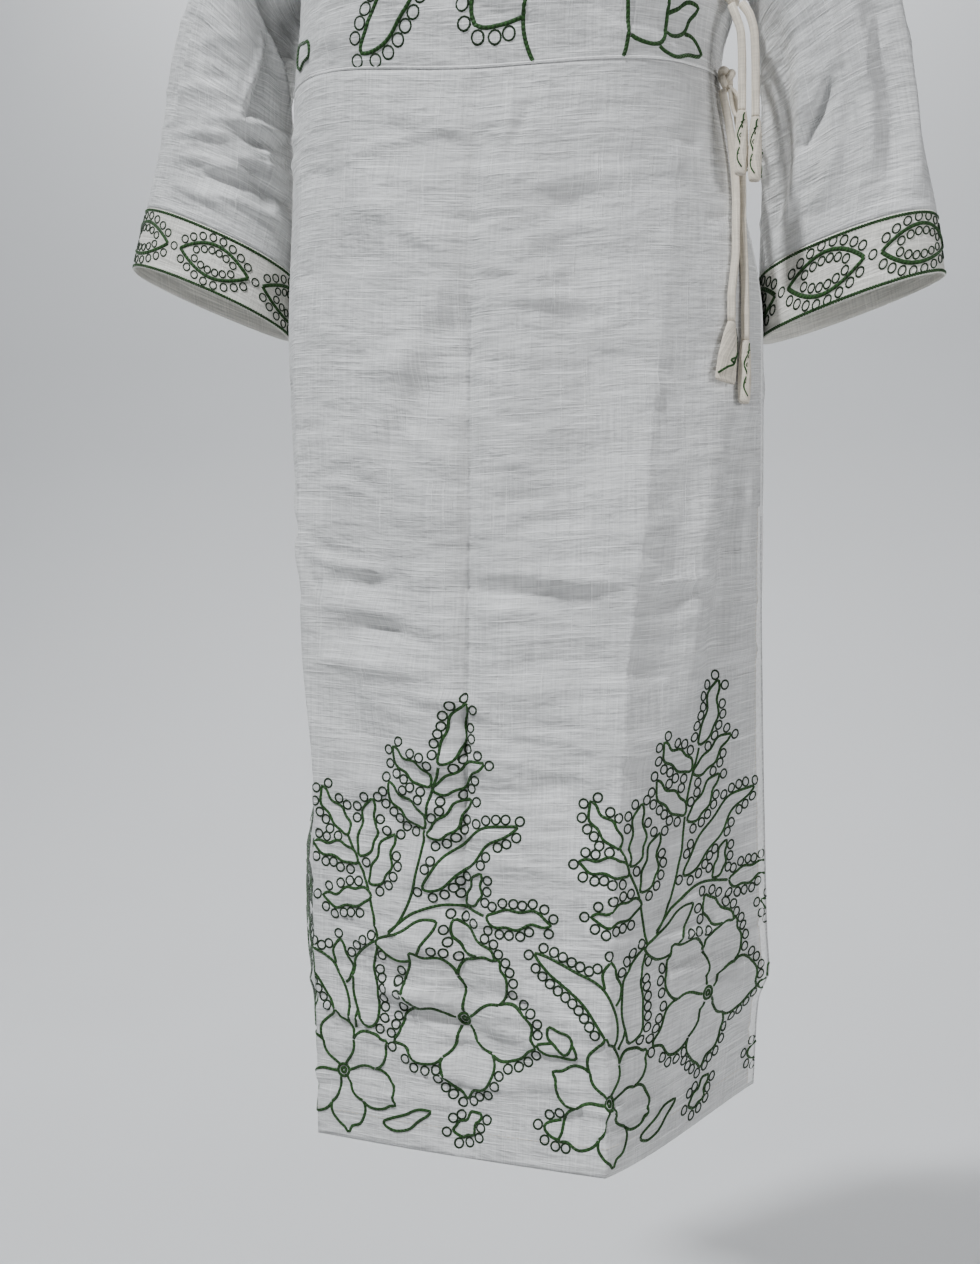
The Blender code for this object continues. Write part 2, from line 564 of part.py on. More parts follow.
def main():
    for obj in list(bpy.data.objects):
        bpy.data.objects.remove(obj, do_unlink=True)
    collection = bpy.data.collections.new("kurta_tunic")
    bpy.context.scene.collection.children.link(collection)

    front = bodice_panel(RIGHT_SEAM, NECK_FRONT_DEPTH)
    back = bodice_panel(LEFT_SEAM, NECK_BACK_DEPTH)
    cloth_piece("front_bodice", front, CLOTH_WHITE, collection)
    cloth_piece("back_bodice", back, CLOTH_WHITE, collection)
    cloth_piece("front_skirt", skirt_panel(RIGHT_SEAM, False)[::-1], CLOTH_WHITE, collection)
    cloth_piece("back_skirt", skirt_panel(LEFT_SEAM, True)[::-1], CLOTH_WHITE, collection)

    for name, side, rings in (("right", -1, RIGHT_SLEEVE), ("left", 1, LEFT_SLEEVE)):
        loop = armhole_loop(front, back, side)
        sleeve = sleeve_rows(loop, rings, 0.0, 1.0, SLEEVE_ROWS)
        seam = SEAM_GAP / SLEEVE_LENGTH
        cuff = sleeve_rows(loop, rings, 1.0 + seam, 1.2, CUFF_ROWS)
        order = slice(None, None, -1) if side < 0 else slice(None)
        cloth_piece(f"{name}_sleeve", [row[order] for row in sleeve], CLOTH_WHITE, collection, True)
        cloth_piece(f"{name}_cuff", [row[order] for row in cuff], CUFF_CREAM, collection, True)

    for knot in KNOTS:
        knot_piece(knot, collection)
    for name, route in STRINGS.items():
        string_piece(name, route, collection)
    for tab in TABS:
        tab_piece(tab, collection)


main()
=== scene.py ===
"""Looks of the kurta tunic: cloth with its creases, seams, ties and green chain-stitch embroidery.

Each piece of cloth is a fine grid on the form of its CAD solid, and keeps its own flat coordinates: across
is the distance round the body from the centre of the front, and up the distance from the lower edge. The
creases and all of the embroidery are drawn in those flat coordinates, in metres, and then laid on the cloth.
"""
import math
from collections import namedtuple

import bmesh
import bpy
import numpy as np
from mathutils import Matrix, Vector


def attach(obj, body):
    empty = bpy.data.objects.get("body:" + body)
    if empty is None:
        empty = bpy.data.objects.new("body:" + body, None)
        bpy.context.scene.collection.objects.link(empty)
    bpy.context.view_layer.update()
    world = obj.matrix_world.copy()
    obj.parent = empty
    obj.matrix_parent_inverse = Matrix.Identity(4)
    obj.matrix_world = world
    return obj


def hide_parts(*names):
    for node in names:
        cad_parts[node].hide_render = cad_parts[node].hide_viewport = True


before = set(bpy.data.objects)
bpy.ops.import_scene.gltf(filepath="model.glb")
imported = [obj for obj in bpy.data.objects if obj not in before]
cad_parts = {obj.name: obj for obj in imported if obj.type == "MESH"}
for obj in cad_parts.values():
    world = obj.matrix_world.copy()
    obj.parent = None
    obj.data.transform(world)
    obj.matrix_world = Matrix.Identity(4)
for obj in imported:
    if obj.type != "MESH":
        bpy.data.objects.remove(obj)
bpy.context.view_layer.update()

bl_info = {
    "name": "Kurta tunic",
    "version": (1, 0, 0),
    "blender": (4, 5, 0),
    "location": "3D View > Sidebar > Kurta",
    "description": "Builds the cloth, ties and embroidery of a kurta tunic",
    "category": "Add Mesh",
}

MM = 0.001

# The form of the garment, as in the CAD model
CHEST_Z = -0.165
UNDERARM_Z = -0.198
SHOULDER_TIP_Z = -0.045
SHOULDER_TIP_X = 0.188
NECK_HALF_WIDTH = 0.078
NECK_FRONT_DEPTH = 0.090
NECK_BACK_DEPTH = 0.022
NECK_ROLL = 1.45
SHOULDER_ROLL = 2.2
ROLL_START_X = 0.050
ROLL_END_X = 0.165
ARMHOLE_INSET = 0.065
SLIT_TOP_DROP = 0.43
SLIT_OPENING = 0.012
SEAM_GAP = 0.0003
EDGE_TRIM = SEAM_GAP / 2
SHOULDER_STEP = 0.0014
SECTION_SAMPLES = 60
SKIRT_LENGTH = 0.886
SLEEVE_LENGTH = 0.34

Post = namedtuple("Post", "name seam hem")
POSTS = (
    Post("right_side_seam", -0.2810, -1.1720),
    Post("right_front_fold", -0.2845, -1.1770),
    Post("centre_front", -0.3005, -1.1800),
    Post("left_front_fold", -0.2895, -1.1785),
    Post("left_side_seam", -0.2840, -1.1480),
    Post("left_back_fold", -0.2860, -1.1620),
    Post("centre_back", -0.2880, -1.1680),
    Post("right_back_fold", -0.2850, -1.1700),
)
RIGHT_SEAM = 0
LEFT_SEAM = 4

BodiceLevel = namedtuple("BodiceLevel", "z rs rf cf lf ls lb cb rb")
BODICE_LEVELS = (
    BodiceLevel(-0.300, (-0.194, 0.000), (-0.165, -0.068), (-0.002, -0.115), (0.163, -0.052),
                (0.181, 0.005), (0.140, 0.088), (0.000, 0.112), (-0.145, 0.088)),
    BodiceLevel(-0.270, (-0.191, 0.000), (-0.160, -0.076), (-0.001, -0.120), (0.158, -0.062),
                (0.184, 0.004), (0.142, 0.086), (0.000, 0.108), (-0.146, 0.086)),
    BodiceLevel(-0.225, (-0.187, 0.000), (-0.150, -0.084), (0.000, -0.127), (0.154, -0.076),
                (0.194, 0.000), (0.148, 0.085), (0.000, 0.106), (-0.146, 0.085)),
    BodiceLevel(-0.165, (-0.186, 0.000), (-0.148, -0.086), (0.000, -0.126), (0.150, -0.084),
                (0.192, 0.000), (0.148, 0.088), (0.000, 0.110), (-0.146, 0.088)),
)

SkirtLevel = namedtuple("SkirtLevel", "drop sharp crease slit rs rf cf lf ls lb cb rb")
SKIRT_LEVELS = (
    SkirtLevel(0.000, 0.00, 0.00, 0.0, (-0.194, 0.000), (-0.165, -0.068), (-0.002, -0.115),
               (0.163, -0.052), (0.181, 0.005), (0.140, 0.088), (0.000, 0.112), (-0.145, 0.088)),
    SkirtLevel(0.100, 0.25, 0.15, 0.0, (-0.198, 0.006), (-0.168, -0.066), (-0.007, -0.119),
               (0.152, -0.066), (0.197, 0.006), (0.150, 0.104), (0.002, 0.134), (-0.150, 0.104)),
    SkirtLevel(0.240, 0.55, 0.30, 0.0, (-0.203, 0.018), (-0.173, -0.072), (-0.0125, -0.120),
               (0.142, -0.080), (0.2165, 0.008), (0.158, 0.126), (0.004, 0.156), (-0.152, 0.128)),
    SkirtLevel(0.350, 0.80, 0.40, 0.0, (-0.200, 0.026), (-0.170, -0.076), (-0.0135, -0.120),
               (0.133, -0.091), (0.2163, 0.007), (0.157, 0.140), (0.006, 0.166), (-0.147, 0.142)),
    SkirtLevel(0.440, 0.95, 0.45, 0.0, (-0.195, 0.032), (-0.1670, -0.079), (-0.0145, -0.118),
               (0.126, -0.100), (0.2160, 0.008), (0.156, 0.150), (0.008, 0.172), (-0.142, 0.150)),
    SkirtLevel(0.540, 1.00, 0.50, 0.6, (-0.193, 0.034), (-0.1640, -0.080), (-0.0165, -0.116),
               (0.118, -0.106), (0.2168, 0.010), (0.154, 0.160), (0.010, 0.179), (-0.136, 0.164)),
    SkirtLevel(0.680, 1.00, 0.50, 1.0, (-0.188, 0.036), (-0.1535, -0.080), (-0.0190, -0.112),
               (0.110, -0.112), (0.2182, 0.015), (0.152, 0.172), (0.012, 0.188), (-0.127, 0.180)),
    SkirtLevel(0.760, 1.00, 0.50, 1.0, (-0.197, 0.032), (-0.1530, -0.080), (-0.0195, -0.109),
               (0.105, -0.115), (0.2195, 0.018), (0.151, 0.178), (0.014, 0.192), (-0.121, 0.190)),
    SkirtLevel(0.840, 1.00, 0.50, 1.0, (-0.198, 0.036), (-0.1520, -0.079), (-0.0200, -0.106),
               (0.103, -0.119), (0.2210, 0.020), (0.150, 0.184), (0.016, 0.197), (-0.114, 0.198)),
    SkirtLevel(0.878, 1.00, 0.50, 1.0, (-0.194, 0.038), (-0.1515, -0.079), (-0.0200, -0.105),
               (0.102, -0.121), (0.2228, 0.022), (0.150, 0.186), (0.018, 0.199), (-0.111, 0.202)),
    SkirtLevel(0.912, 1.00, 0.50, 1.0, (-0.186, 0.040), (-0.1510, -0.078), (-0.0202, -0.104),
               (0.102, -0.122), (0.2135, 0.028), (0.150, 0.188), (0.020, 0.201), (-0.109, 0.206)),
    SkirtLevel(1.000, 1.00, 0.50, 1.0, (-0.180, 0.044), (-0.1500, -0.078), (-0.0205, -0.101),
               (0.101, -0.127), (0.2085, 0.040), (0.150, 0.192), (0.025, 0.206), (-0.104, 0.214)),
)

ArmholeRow = namedtuple("ArmholeRow", "z x")
ARMHOLE = (
    ArmholeRow(-0.165, 0.1690),
    ArmholeRow(-0.130, 0.1635),
    ArmholeRow(-0.095, 0.1655),
    ArmholeRow(-0.065, 0.1760),
    ArmholeRow(-0.045, 0.1880),
)

Ring = namedtuple("Ring", "along outer inner half_depth front_lift back_lift")
RIGHT_SLEEVE = (
    Ring(0.16, (-0.2400, 0.004, -0.0840), (-0.2045, 0.004, -0.214), 0.078, 0.000, 0.000),
    Ring(0.38, (-0.2865, 0.010, -0.1740), (-0.2065, 0.006, -0.252), 0.064, 0.000, 0.000),
    Ring(0.60, (-0.3115, 0.014, -0.2350), (-0.2060, 0.008, -0.302), 0.056, 0.002, 0.000),
    Ring(0.82, (-0.3295, 0.018, -0.3130), (-0.2045, 0.010, -0.366), 0.049, 0.005, -0.002),
    Ring(1.00, (-0.3445, 0.018, -0.3690), (-0.2050, 0.011, -0.431), 0.045, 0.009, -0.004),
    Ring(1.20, (-0.3585, 0.018, -0.4235), (-0.2080, 0.012, -0.488), 0.046, 0.010, -0.005),
)
LEFT_SLEEVE = (
    Ring(0.16, (0.2560, 0.006, -0.082), (0.2050, 0.012, -0.214), 0.078, 0.000, 0.000),
    Ring(0.38, (0.3200, 0.014, -0.178), (0.2130, 0.022, -0.256), 0.064, 0.000, 0.000),
    Ring(0.60, (0.3375, 0.018, -0.248), (0.2170, 0.034, -0.314), 0.056, 0.002, 0.000),
    Ring(0.82, (0.3490, 0.020, -0.338), (0.2160, 0.048, -0.386), 0.049, 0.004, 0.000),
    Ring(1.00, (0.3610, 0.020, -0.403), (0.2140, 0.057, -0.447), 0.045, 0.007, 0.000),
    Ring(1.20, (0.3675, 0.020, -0.454), (0.2150, 0.060, -0.501), 0.046, 0.0015, 0.001),
)
OVAL_POWER = 2.2

# Ties, as in the CAD model
Knot = namedtuple("Knot", "name centre size")
KNOTS = (
    Knot("waist_knot", (0.1883, -0.0140, -0.2884), (0.0085, 0.0085, 0.0115)),
    Knot("upper_knot", (0.1942, -0.0322, -0.2260), (0.0095, 0.0085, 0.0105)),
)
STRINGS = {
    "waist_string_front": (
        (0.1850, -0.0190, -0.2998), (0.1868, -0.0192, -0.3100), (0.1906, -0.0180, -0.3290),
        (0.1938, -0.0178, -0.3540), (0.1963, -0.0202, -0.3840), (0.1968, -0.0264, -0.4110),
        (0.1968, -0.0314, -0.4370), (0.1950, -0.0370, -0.4620), (0.1938, -0.0404, -0.4780),
        (0.1938, -0.0406, -0.4980),
    ),
    "waist_string_rear": (
        (0.1935, -0.0105, -0.2998), (0.1962, -0.0090, -0.3120), (0.1995, -0.0070, -0.3430),
        (0.2010, -0.0082, -0.3800), (0.2014, -0.0178, -0.4100), (0.2032, -0.0225, -0.4440),
        (0.2042, -0.0262, -0.4720), (0.2045, -0.0290, -0.4920), (0.2045, -0.0292, -0.5120),
    ),
    "upper_string_front": (
        (0.1937, -0.0382, -0.2366), (0.1980, -0.0420, -0.2490), (0.2018, -0.0440, -0.2640),
        (0.2026, -0.0440, -0.2900), (0.2024, -0.0440, -0.3260),
    ),
    "upper_string_rear": (
        (0.2022, -0.0360, -0.2354), (0.2085, -0.0415, -0.2470), (0.2125, -0.0440, -0.2640),
        (0.2135, -0.0440, -0.2950), (0.2135, -0.0440, -0.3320),
    ),
}
STRING_WIDTH = 0.0072
STRING_DEPTH = 0.0050
TabRow = namedtuple("TabRow", "drop half_width half_depth")
FLAT_TAB = (
    TabRow(0.000, 0.0036, 0.0030),
    TabRow(0.004, 0.0048, 0.0030),
    TabRow(0.012, 0.0072, 0.0026),
    TabRow(0.030, 0.0100, 0.0024),
    TabRow(0.046, 0.0109, 0.0022),
    TabRow(0.050, 0.0100, 0.0018),
)
ROLLED_TAB = (
    TabRow(0.000, 0.0036, 0.0034),
    TabRow(0.004, 0.0044, 0.0040),
    TabRow(0.014, 0.0052, 0.0046),
    TabRow(0.034, 0.0058, 0.0050),
    TabRow(0.049, 0.0052, 0.0044),
    TabRow(0.052, 0.0040, 0.0034),
)
TAB_GAP = 0.0005
Tab = namedtuple("Tab", "name string rows turn lean")
TABS = (
    Tab("waist_tab_front", "waist_string_front", FLAT_TAB, 44, (-0.0048, -0.0082)),
    Tab("waist_tab_rear", "waist_string_rear", ROLLED_TAB, 40, (-0.0008, -0.0040)),
    Tab("upper_tab_front", "upper_string_front", ROLLED_TAB, 10, (-0.0012, 0.0000)),
    Tab("upper_tab_rear", "upper_string_rear", ROLLED_TAB, 0, (-0.0010, 0.0000)),
)

# Creases given one by one, in flat coordinates: a positive depth is a ridge and a negative one a trough
Crease = namedtuple("Crease", "across_0 up_0 across_1 up_1 width depth")
FRONT_SKIRT_CREASES = (
    Crease(0.000, 0.900, 0.000, -0.040, 0.0200, -0.0056),
    Crease(0.000, 0.900, -0.001, -0.020, 0.0060, -0.0038),
    Crease(0.004, 0.700, -0.064, 0.560, 0.024, -0.0058),
    Crease(-0.020, 0.720, -0.100, 0.560, 0.016, 0.0034),
    Crease(-0.060, 0.590, 0.000, 0.560, 0.012, 0.0030),
    Crease(0.044, 0.880, 0.064, 0.866, 0.0028, 0.0020),
    Crease(0.030, 0.868, 0.020, 0.812, 0.0042, 0.0018),
    Crease(0.044, 0.862, 0.034, 0.826, 0.0034, -0.0016),
    Crease(-0.130, 0.812, -0.010, 0.838, 0.0030, 0.0016),
    Crease(-0.150, 0.764, -0.040, 0.780, 0.0040, 0.0013),
    Crease(0.006, 0.479, 0.080, 0.470, 0.0040, 0.0022),
    Crease(0.052, 0.470, 0.132, 0.462, 0.0036, 0.0024),
    Crease(0.004, 0.462, 0.110, 0.450, 0.0070, -0.0032),
    Crease(0.010, 0.446, 0.084, 0.440, 0.0040, 0.0018),
    Crease(0.020, 0.426, 0.134, 0.418, 0.0036, 0.0020),
    Crease(0.030, 0.398, 0.120, 0.404, 0.0080, -0.0026),
    Crease(-0.148, 0.482, -0.030, 0.470, 0.0040, 0.0026),
    Crease(-0.140, 0.466, -0.060, 0.458, 0.0060, -0.0032),
    Crease(-0.140, 0.444, -0.040, 0.440, 0.0050, 0.0024),
    Crease(-0.136, 0.418, -0.050, 0.424, 0.0120, -0.0040),
    Crease(-0.146, 0.394, -0.040, 0.398, 0.0060, 0.0020),
    Crease(-0.150, 0.474, -0.132, 0.452, 0.0028, -0.0020),
    Crease(0.142, 0.459, 0.230, 0.461, 0.0030, 0.0022),
    Crease(0.150, 0.447, 0.236, 0.452, 0.0060, -0.0020),
    Crease(0.024, 0.566, 0.060, 0.560, 0.0024, 0.0018),
    Crease(0.030, 0.560, 0.026, 0.526, 0.0026, 0.0014),
    Crease(0.020, 0.530, 0.070, 0.538, 0.0100, -0.0024),
    Crease(-0.140, 0.546, -0.080, 0.538, 0.0030, 0.0014),
    Crease(0.246, 0.600, 0.226, 0.352, 0.0150, -0.0076),
    Crease(0.205, 0.560, 0.196, 0.330, 0.0160, 0.0036),
    Crease(-0.060, 0.610, 0.050, 0.596, 0.0060, 0.0014),
    Crease(0.012, 0.700, 0.100, 0.690, 0.0060, 0.0014),
    Crease(0.060, 0.860, 0.120, 0.560, 0.0240, -0.0040),
    Crease(0.040, 0.360, 0.110, 0.260, 0.0200, -0.0036),
    Crease(-0.110, 0.380, -0.040, 0.240, 0.0200, -0.0036),
    Crease(-0.016, 0.420, 0.006, 0.300, 0.0060, -0.0014),
    Crease(-0.200, 0.500, -0.150, 0.470, 0.0060, 0.0024),
    Crease(-0.205, 0.440, -0.150, 0.452, 0.0060, -0.0022),
    Crease(-0.124, 0.190, -0.020, 0.170, 0.0036, 0.0020),
    Crease(-0.120, 0.140, 0.010, 0.120, 0.0034, 0.0022),
    Crease(-0.100, 0.120, 0.040, 0.104, 0.0034, -0.0020),
    Crease(-0.124, 0.086, -0.010, 0.078, 0.0030, 0.0020),
    Crease(-0.060, 0.066, 0.060, 0.058, 0.0034, 0.0018),
    Crease(0.020, 0.246, 0.110, 0.226, 0.0040, 0.0020),
    Crease(0.128, 0.176, 0.262, 0.158, 0.0040, 0.0026),
    Crease(0.170, 0.150, 0.270, 0.140, 0.0050, -0.0024),
)
BACK_SKIRT_CREASES = (
    Crease(0.420, 0.800, 0.380, 0.560, 0.022, -0.0032),
    Crease(0.640, 0.780, 0.690, 0.600, 0.022, -0.0030),
    Crease(0.590, 0.840, 0.596, 0.120, 0.010, 0.0014),
    Crease(0.400, 0.475, 0.560, 0.466, 0.0060, 0.0014),
    Crease(0.610, 0.462, 0.780, 0.474, 0.0060, -0.0016),
    Crease(0.360, 0.455, 0.520, 0.446, 0.0070, -0.0014),
    Crease(0.640, 0.300, 0.740, 0.290, 0.0060, 0.0010),
    Crease(0.420, 0.310, 0.520, 0.320, 0.0060, 0.0010),
)
FRONT_BODICE_CREASES = (
    Crease(-0.140, 0.120, -0.060, 0.030, 0.0090, 0.0016),
    Crease(-0.120, 0.150, -0.040, 0.100, 0.0100, -0.0016),
    Crease(0.130, 0.125, 0.070, 0.050, 0.0090, 0.0016),
    Crease(0.040, 0.034, 0.060, 0.002, 0.0030, 0.0010),
    Crease(-0.030, 0.030, -0.012, 0.002, 0.0040, -0.0009),
    Crease(0.110, 0.200, 0.060, 0.170, 0.0100, 0.0014),
    Crease(-0.110, 0.210, -0.050, 0.180, 0.0100, 0.0012),
)
BACK_BODICE_CREASES = (
    Crease(0.420, 0.140, 0.500, 0.060, 0.0090, 0.0016),
    Crease(0.760, 0.150, 0.680, 0.070, 0.0100, -0.0016),
    Crease(0.560, 0.180, 0.640, 0.176, 0.0080, 0.0012),
)
RIGHT_SLEEVE_CREASES = (
    Crease(0.153, 0.214, 0.124, 0.100, 0.0030, 0.0040),
    Crease(0.159, 0.214, 0.131, 0.102, 0.0036, -0.0040),
    Crease(0.142, 0.250, 0.196, 0.120, 0.0060, 0.0050),
    Crease(0.168, 0.260, 0.216, 0.136, 0.0160, -0.0110),
    Crease(0.075, 0.200, 0.058, 0.080, 0.0028, 0.0030),
    Crease(0.064, 0.200, 0.048, 0.080, 0.0030, -0.0026),
    Crease(0.052, 0.066, 0.136, 0.088, 0.0040, 0.0032),
    Crease(0.052, 0.100, 0.112, 0.122, 0.0046, 0.0024),
    Crease(0.098, 0.094, 0.194, 0.120, 0.0040, 0.0034),
    Crease(0.110, 0.082, 0.188, 0.102, 0.0044, -0.0036),
    Crease(0.056, 0.050, 0.152, 0.060, 0.0040, 0.0034),
    Crease(0.118, 0.068, 0.194, 0.078, 0.0036, 0.0034),
    Crease(0.066, 0.040, 0.166, 0.046, 0.0044, -0.0032),
    Crease(0.096, 0.030, 0.186, 0.031, 0.0036, 0.0030),
    Crease(0.056, 0.025, 0.132, 0.019, 0.0040, 0.0024),
    Crease(0.138, 0.054, 0.194, 0.052, 0.0040, -0.0036),
    Crease(0.126, 0.064, 0.166, 0.042, 0.0080, -0.0044),
    Crease(0.150, 0.100, 0.158, 0.060, 0.0030, 0.0026),
    Crease(0.080, 0.150, 0.126, 0.176, 0.0060, 0.0020),
    Crease(0.084, 0.120, 0.120, 0.136, 0.0060, -0.0022),
    Crease(0.028, 0.300, 0.034, 0.040, 0.0040, 0.0016),
    Crease(0.260, 0.260, 0.360, 0.200, 0.0090, 0.0034),
    Crease(0.270, 0.180, 0.370, 0.140, 0.0080, -0.0030),
    Crease(0.280, 0.100, 0.380, 0.080, 0.0060, 0.0030),
    Crease(0.300, 0.060, 0.400, 0.050, 0.0060, -0.0026),
)
LEFT_SLEEVE_CREASES = (
    Crease(0.262, 0.210, 0.242, 0.024, 0.0090, -0.0046),
    Crease(0.282, 0.200, 0.254, 0.030, 0.0060, 0.0036),
    Crease(0.312, 0.190, 0.286, 0.020, 0.0070, 0.0034),
    Crease(0.310, 0.136, 0.260, 0.076, 0.0080, -0.0046),
    Crease(0.352, 0.220, 0.346, 0.006, 0.0130, -0.0060),
    Crease(0.330, 0.200, 0.324, 0.010, 0.0070, 0.0030),
    Crease(0.374, 0.220, 0.372, 0.010, 0.0070, 0.0030),
    Crease(0.228, 0.190, 0.222, 0.030, 0.0070, 0.0030),
    Crease(0.270, 0.156, 0.262, 0.120, 0.0028, 0.0016),
    Crease(0.290, 0.150, 0.280, 0.104, 0.0028, 0.0016),
    Crease(0.300, 0.080, 0.296, 0.030, 0.0030, 0.0014),
    Crease(0.040, 0.320, 0.050, 0.030, 0.0100, -0.0034),
    Crease(0.070, 0.300, 0.064, 0.060, 0.0120, 0.0032),
    Crease(0.105, 0.320, 0.112, 0.040, 0.0110, -0.0040),
    Crease(0.140, 0.300, 0.150, 0.020, 0.0110, 0.0036),
    Crease(0.180, 0.240, 0.120, 0.180, 0.0060, 0.0016),
    Crease(0.250, 0.320, 0.340, 0.270, 0.0090, 0.0024),
)

# Fields of smaller creases, which a seeded chooser scatters: lean is their angle from level, in degrees
Field = namedtuple("Field", "across_0 across_1 up_0 up_1 count lean spread length width depth")
FRONT_SKIRT_FIELDS = (
    Field(-0.125, 0.120, 0.020, 0.150, 44, -6, 12, 0.060, 0.0042, 0.0018),
    Field(-0.125, 0.120, 0.150, 0.340, 30, -6, 18, 0.060, 0.0040, 0.0015),
    Field(-0.135, 0.120, 0.340, 0.520, 28, -4, 10, 0.070, 0.0044, 0.0015),
    Field(-0.135, 0.120, 0.520, 0.860, 30, -2, 24, 0.060, 0.0050, 0.0012),
    Field(-0.140, 0.110, 0.020, 0.850, 60, -3, 14, 0.090, 0.0110, 0.0022),
    Field(0.130, 0.270, 0.020, 0.200, 26, -6, 12, 0.045, 0.0034, 0.0014),
    Field(0.130, 0.260, 0.200, 0.860, 26, 0, 20, 0.060, 0.0080, 0.0014),
    Field(-0.240, -0.145, 0.020, 0.860, 44, -8, 20, 0.045, 0.0050, 0.0016),
)
BACK_SKIRT_FIELDS = (
    Field(0.270, 0.880, 0.020, 0.200, 70, 0, 12, 0.060, 0.0036, 0.0016),
    Field(0.290, 0.880, 0.200, 0.860, 110, 0, 20, 0.070, 0.0060, 0.0016),
    Field(0.290, 0.840, 0.030, 0.850, 90, 0, 16, 0.100, 0.0120, 0.0024),
)
BODICE_FIELDS = (
    Field(-0.180, 0.180, 0.004, 0.200, 30, 30, 50, 0.050, 0.0060, 0.0014),
    Field(-0.200, 0.180, 0.004, 0.060, 16, -10, 20, 0.060, 0.0040, 0.0014),
)
BACK_BODICE_FIELDS = (
    Field(0.280, 0.720, 0.010, 0.240, 40, 0, 50, 0.060, 0.0070, 0.0015),
)
SLEEVE_FIELDS = (
    Field(0.010, 0.210, 0.006, 0.250, 44, 14, 22, 0.045, 0.0036, 0.0014),
    Field(0.220, 0.440, 0.006, 0.280, 40, 84, 26, 0.045, 0.0050, 0.0013),
)

# The photograph's camera: level, turned 12 degrees round from the front
CAMERA_PLACE = (0.2625, -1.3192, -0.727)
CAMERA_TURN = 12.0
CAMERA_FOCAL_SHARE = 1538 / 980
CAMERA_RISE_SHARE = -32 / 980
FLOOR_Z = -1.62


def smooth_through(positions, values, at):
    """Value at a place, on a curve through the rows that never swings past them."""
    positions = np.asarray(positions, float)
    values = np.asarray(values, float)
    flat = values.reshape(len(positions), -1)
    step = np.diff(positions)[:, None]
    slope = np.diff(flat, axis=0) / step
    tangent = np.zeros_like(flat)
    same_way = slope[:-1] * slope[1:] > 0
    weight_a = 2 * step[1:] + step[:-1]
    weight_b = step[1:] + 2 * step[:-1]
    safe_a = np.where(same_way, slope[:-1], 1.0)
    safe_b = np.where(same_way, slope[1:], 1.0)
    tangent[1:-1] = np.where(same_way, (weight_a + weight_b) / (weight_a / safe_a + weight_b / safe_b), 0)
    tangent[0] = slope[0]
    tangent[-1] = slope[-1]
    place = float(np.clip(at, positions[0], positions[-1]))
    row = int(np.clip(np.searchsorted(positions, place) - 1, 0, len(positions) - 2))
    h = positions[row + 1] - positions[row]
    t = (place - positions[row]) / h
    result = ((1 + 2 * t) * (1 - t) ** 2 * flat[row] + t * (1 - t) ** 2 * h * tangent[row]
              + t * t * (3 - 2 * t) * flat[row + 1] + t * t * (t - 1) * h * tangent[row + 1])
    return result.reshape(values.shape[1:])


def walked(line):
    """Distance along a line at each of its points."""
    steps = np.linalg.norm(np.diff(line, axis=0), axis=1)
    return np.concatenate([[0], np.cumsum(steps)])


def even_steps(curve, count):
    """The same curve as count + 1 points at equal distances along it."""
    distance = walked(curve)
    stops = np.linspace(0, distance[-1], count + 1)
    return np.stack([np.interp(stops, distance, curve[:, k]) for k in range(curve.shape[1])], axis=1)


def ring_of_posts(corners, sharpness):
    """Closed curve through the posts, as points at even steps between each two of them."""
    corners = np.asarray(corners, float)
    chord = np.roll(corners, -1, axis=0) - corners
    length = np.linalg.norm(chord, axis=1)[:, None]
    ahead = chord / length
    behind = np.roll(ahead, 1, axis=0)
    round_way = behind * length + ahead * np.roll(length, 1, axis=0)
    round_way /= np.linalg.norm(round_way, axis=1)[:, None]
    sharp = np.asarray(sharpness, float)[:, None]
    leave = (1 - sharp) * round_way + sharp * ahead
    arrive = (1 - sharp) * round_way + sharp * behind
    leave /= np.linalg.norm(leave, axis=1)[:, None]
    arrive /= np.linalg.norm(arrive, axis=1)[:, None]
    spans = []
    t = np.linspace(0, 1, SECTION_SAMPLES + 1)[:, None]
    for i in range(len(corners)):
        j = (i + 1) % len(corners)
        curve = ((1 + 2 * t) * (1 - t) ** 2 * corners[i] + t * (1 - t) ** 2 * length[i] * leave[i]
                 + t * t * (3 - 2 * t) * corners[j] + t * t * (t - 1) * length[i] * arrive[j])
        spans.append(even_steps(curve, SECTION_SAMPLES))
    return spans


def panel_line(spans, first):
    """Points along the four spans from first on, each with its place among the posts in a third column."""
    rows = []
    for k in range(4):
        span = spans[(first + k) % len(spans)]
        place = np.linspace(k, k + 1, SECTION_SAMPLES + 1)[:, None]
        rows.append(np.hstack([span, place])[(1 if k else 0):])
    return np.vstack(rows)


def cut_line(line, trim, shares):
    """Points at the given shares of a line's length, once both its ends are trimmed."""
    distance = walked(line[:, :2])
    stops = trim + (distance[-1] - 2 * trim) * np.asarray(shares)
    return np.stack([np.interp(stops, distance, line[:, k]) for k in range(line.shape[1])], axis=1)


def edge_heights(places, first, part):
    """Heights of the waist seam or the hem at places among the five posts from first on."""
    heights = [getattr(POSTS[(first + k) % len(POSTS)], part) for k in range(5)]
    return np.array([smooth_through(range(5), heights, place) for place in places], float)


def skirt_section(drop):
    """The closed section of the skirt at a drop below the waist seam."""
    drops = [level.drop for level in SKIRT_LEVELS]
    corners = smooth_through(drops, [level[4:] for level in SKIRT_LEVELS], drop)
    sharp, crease, slit = smooth_through(drops, [level[1:4] for level in SKIRT_LEVELS], drop)
    return ring_of_posts(corners, [slit, sharp, crease, sharp, slit, crease, crease, crease])


def bodice_section(z):
    """The closed section of the bodice at a height."""
    heights = [level.z for level in BODICE_LEVELS]
    corners = smooth_through(heights, [level[1:] for level in BODICE_LEVELS], z)
    return ring_of_posts(corners, [0] * len(POSTS))


Cloth = namedtuple("Cloth", "name points normals across up closed")


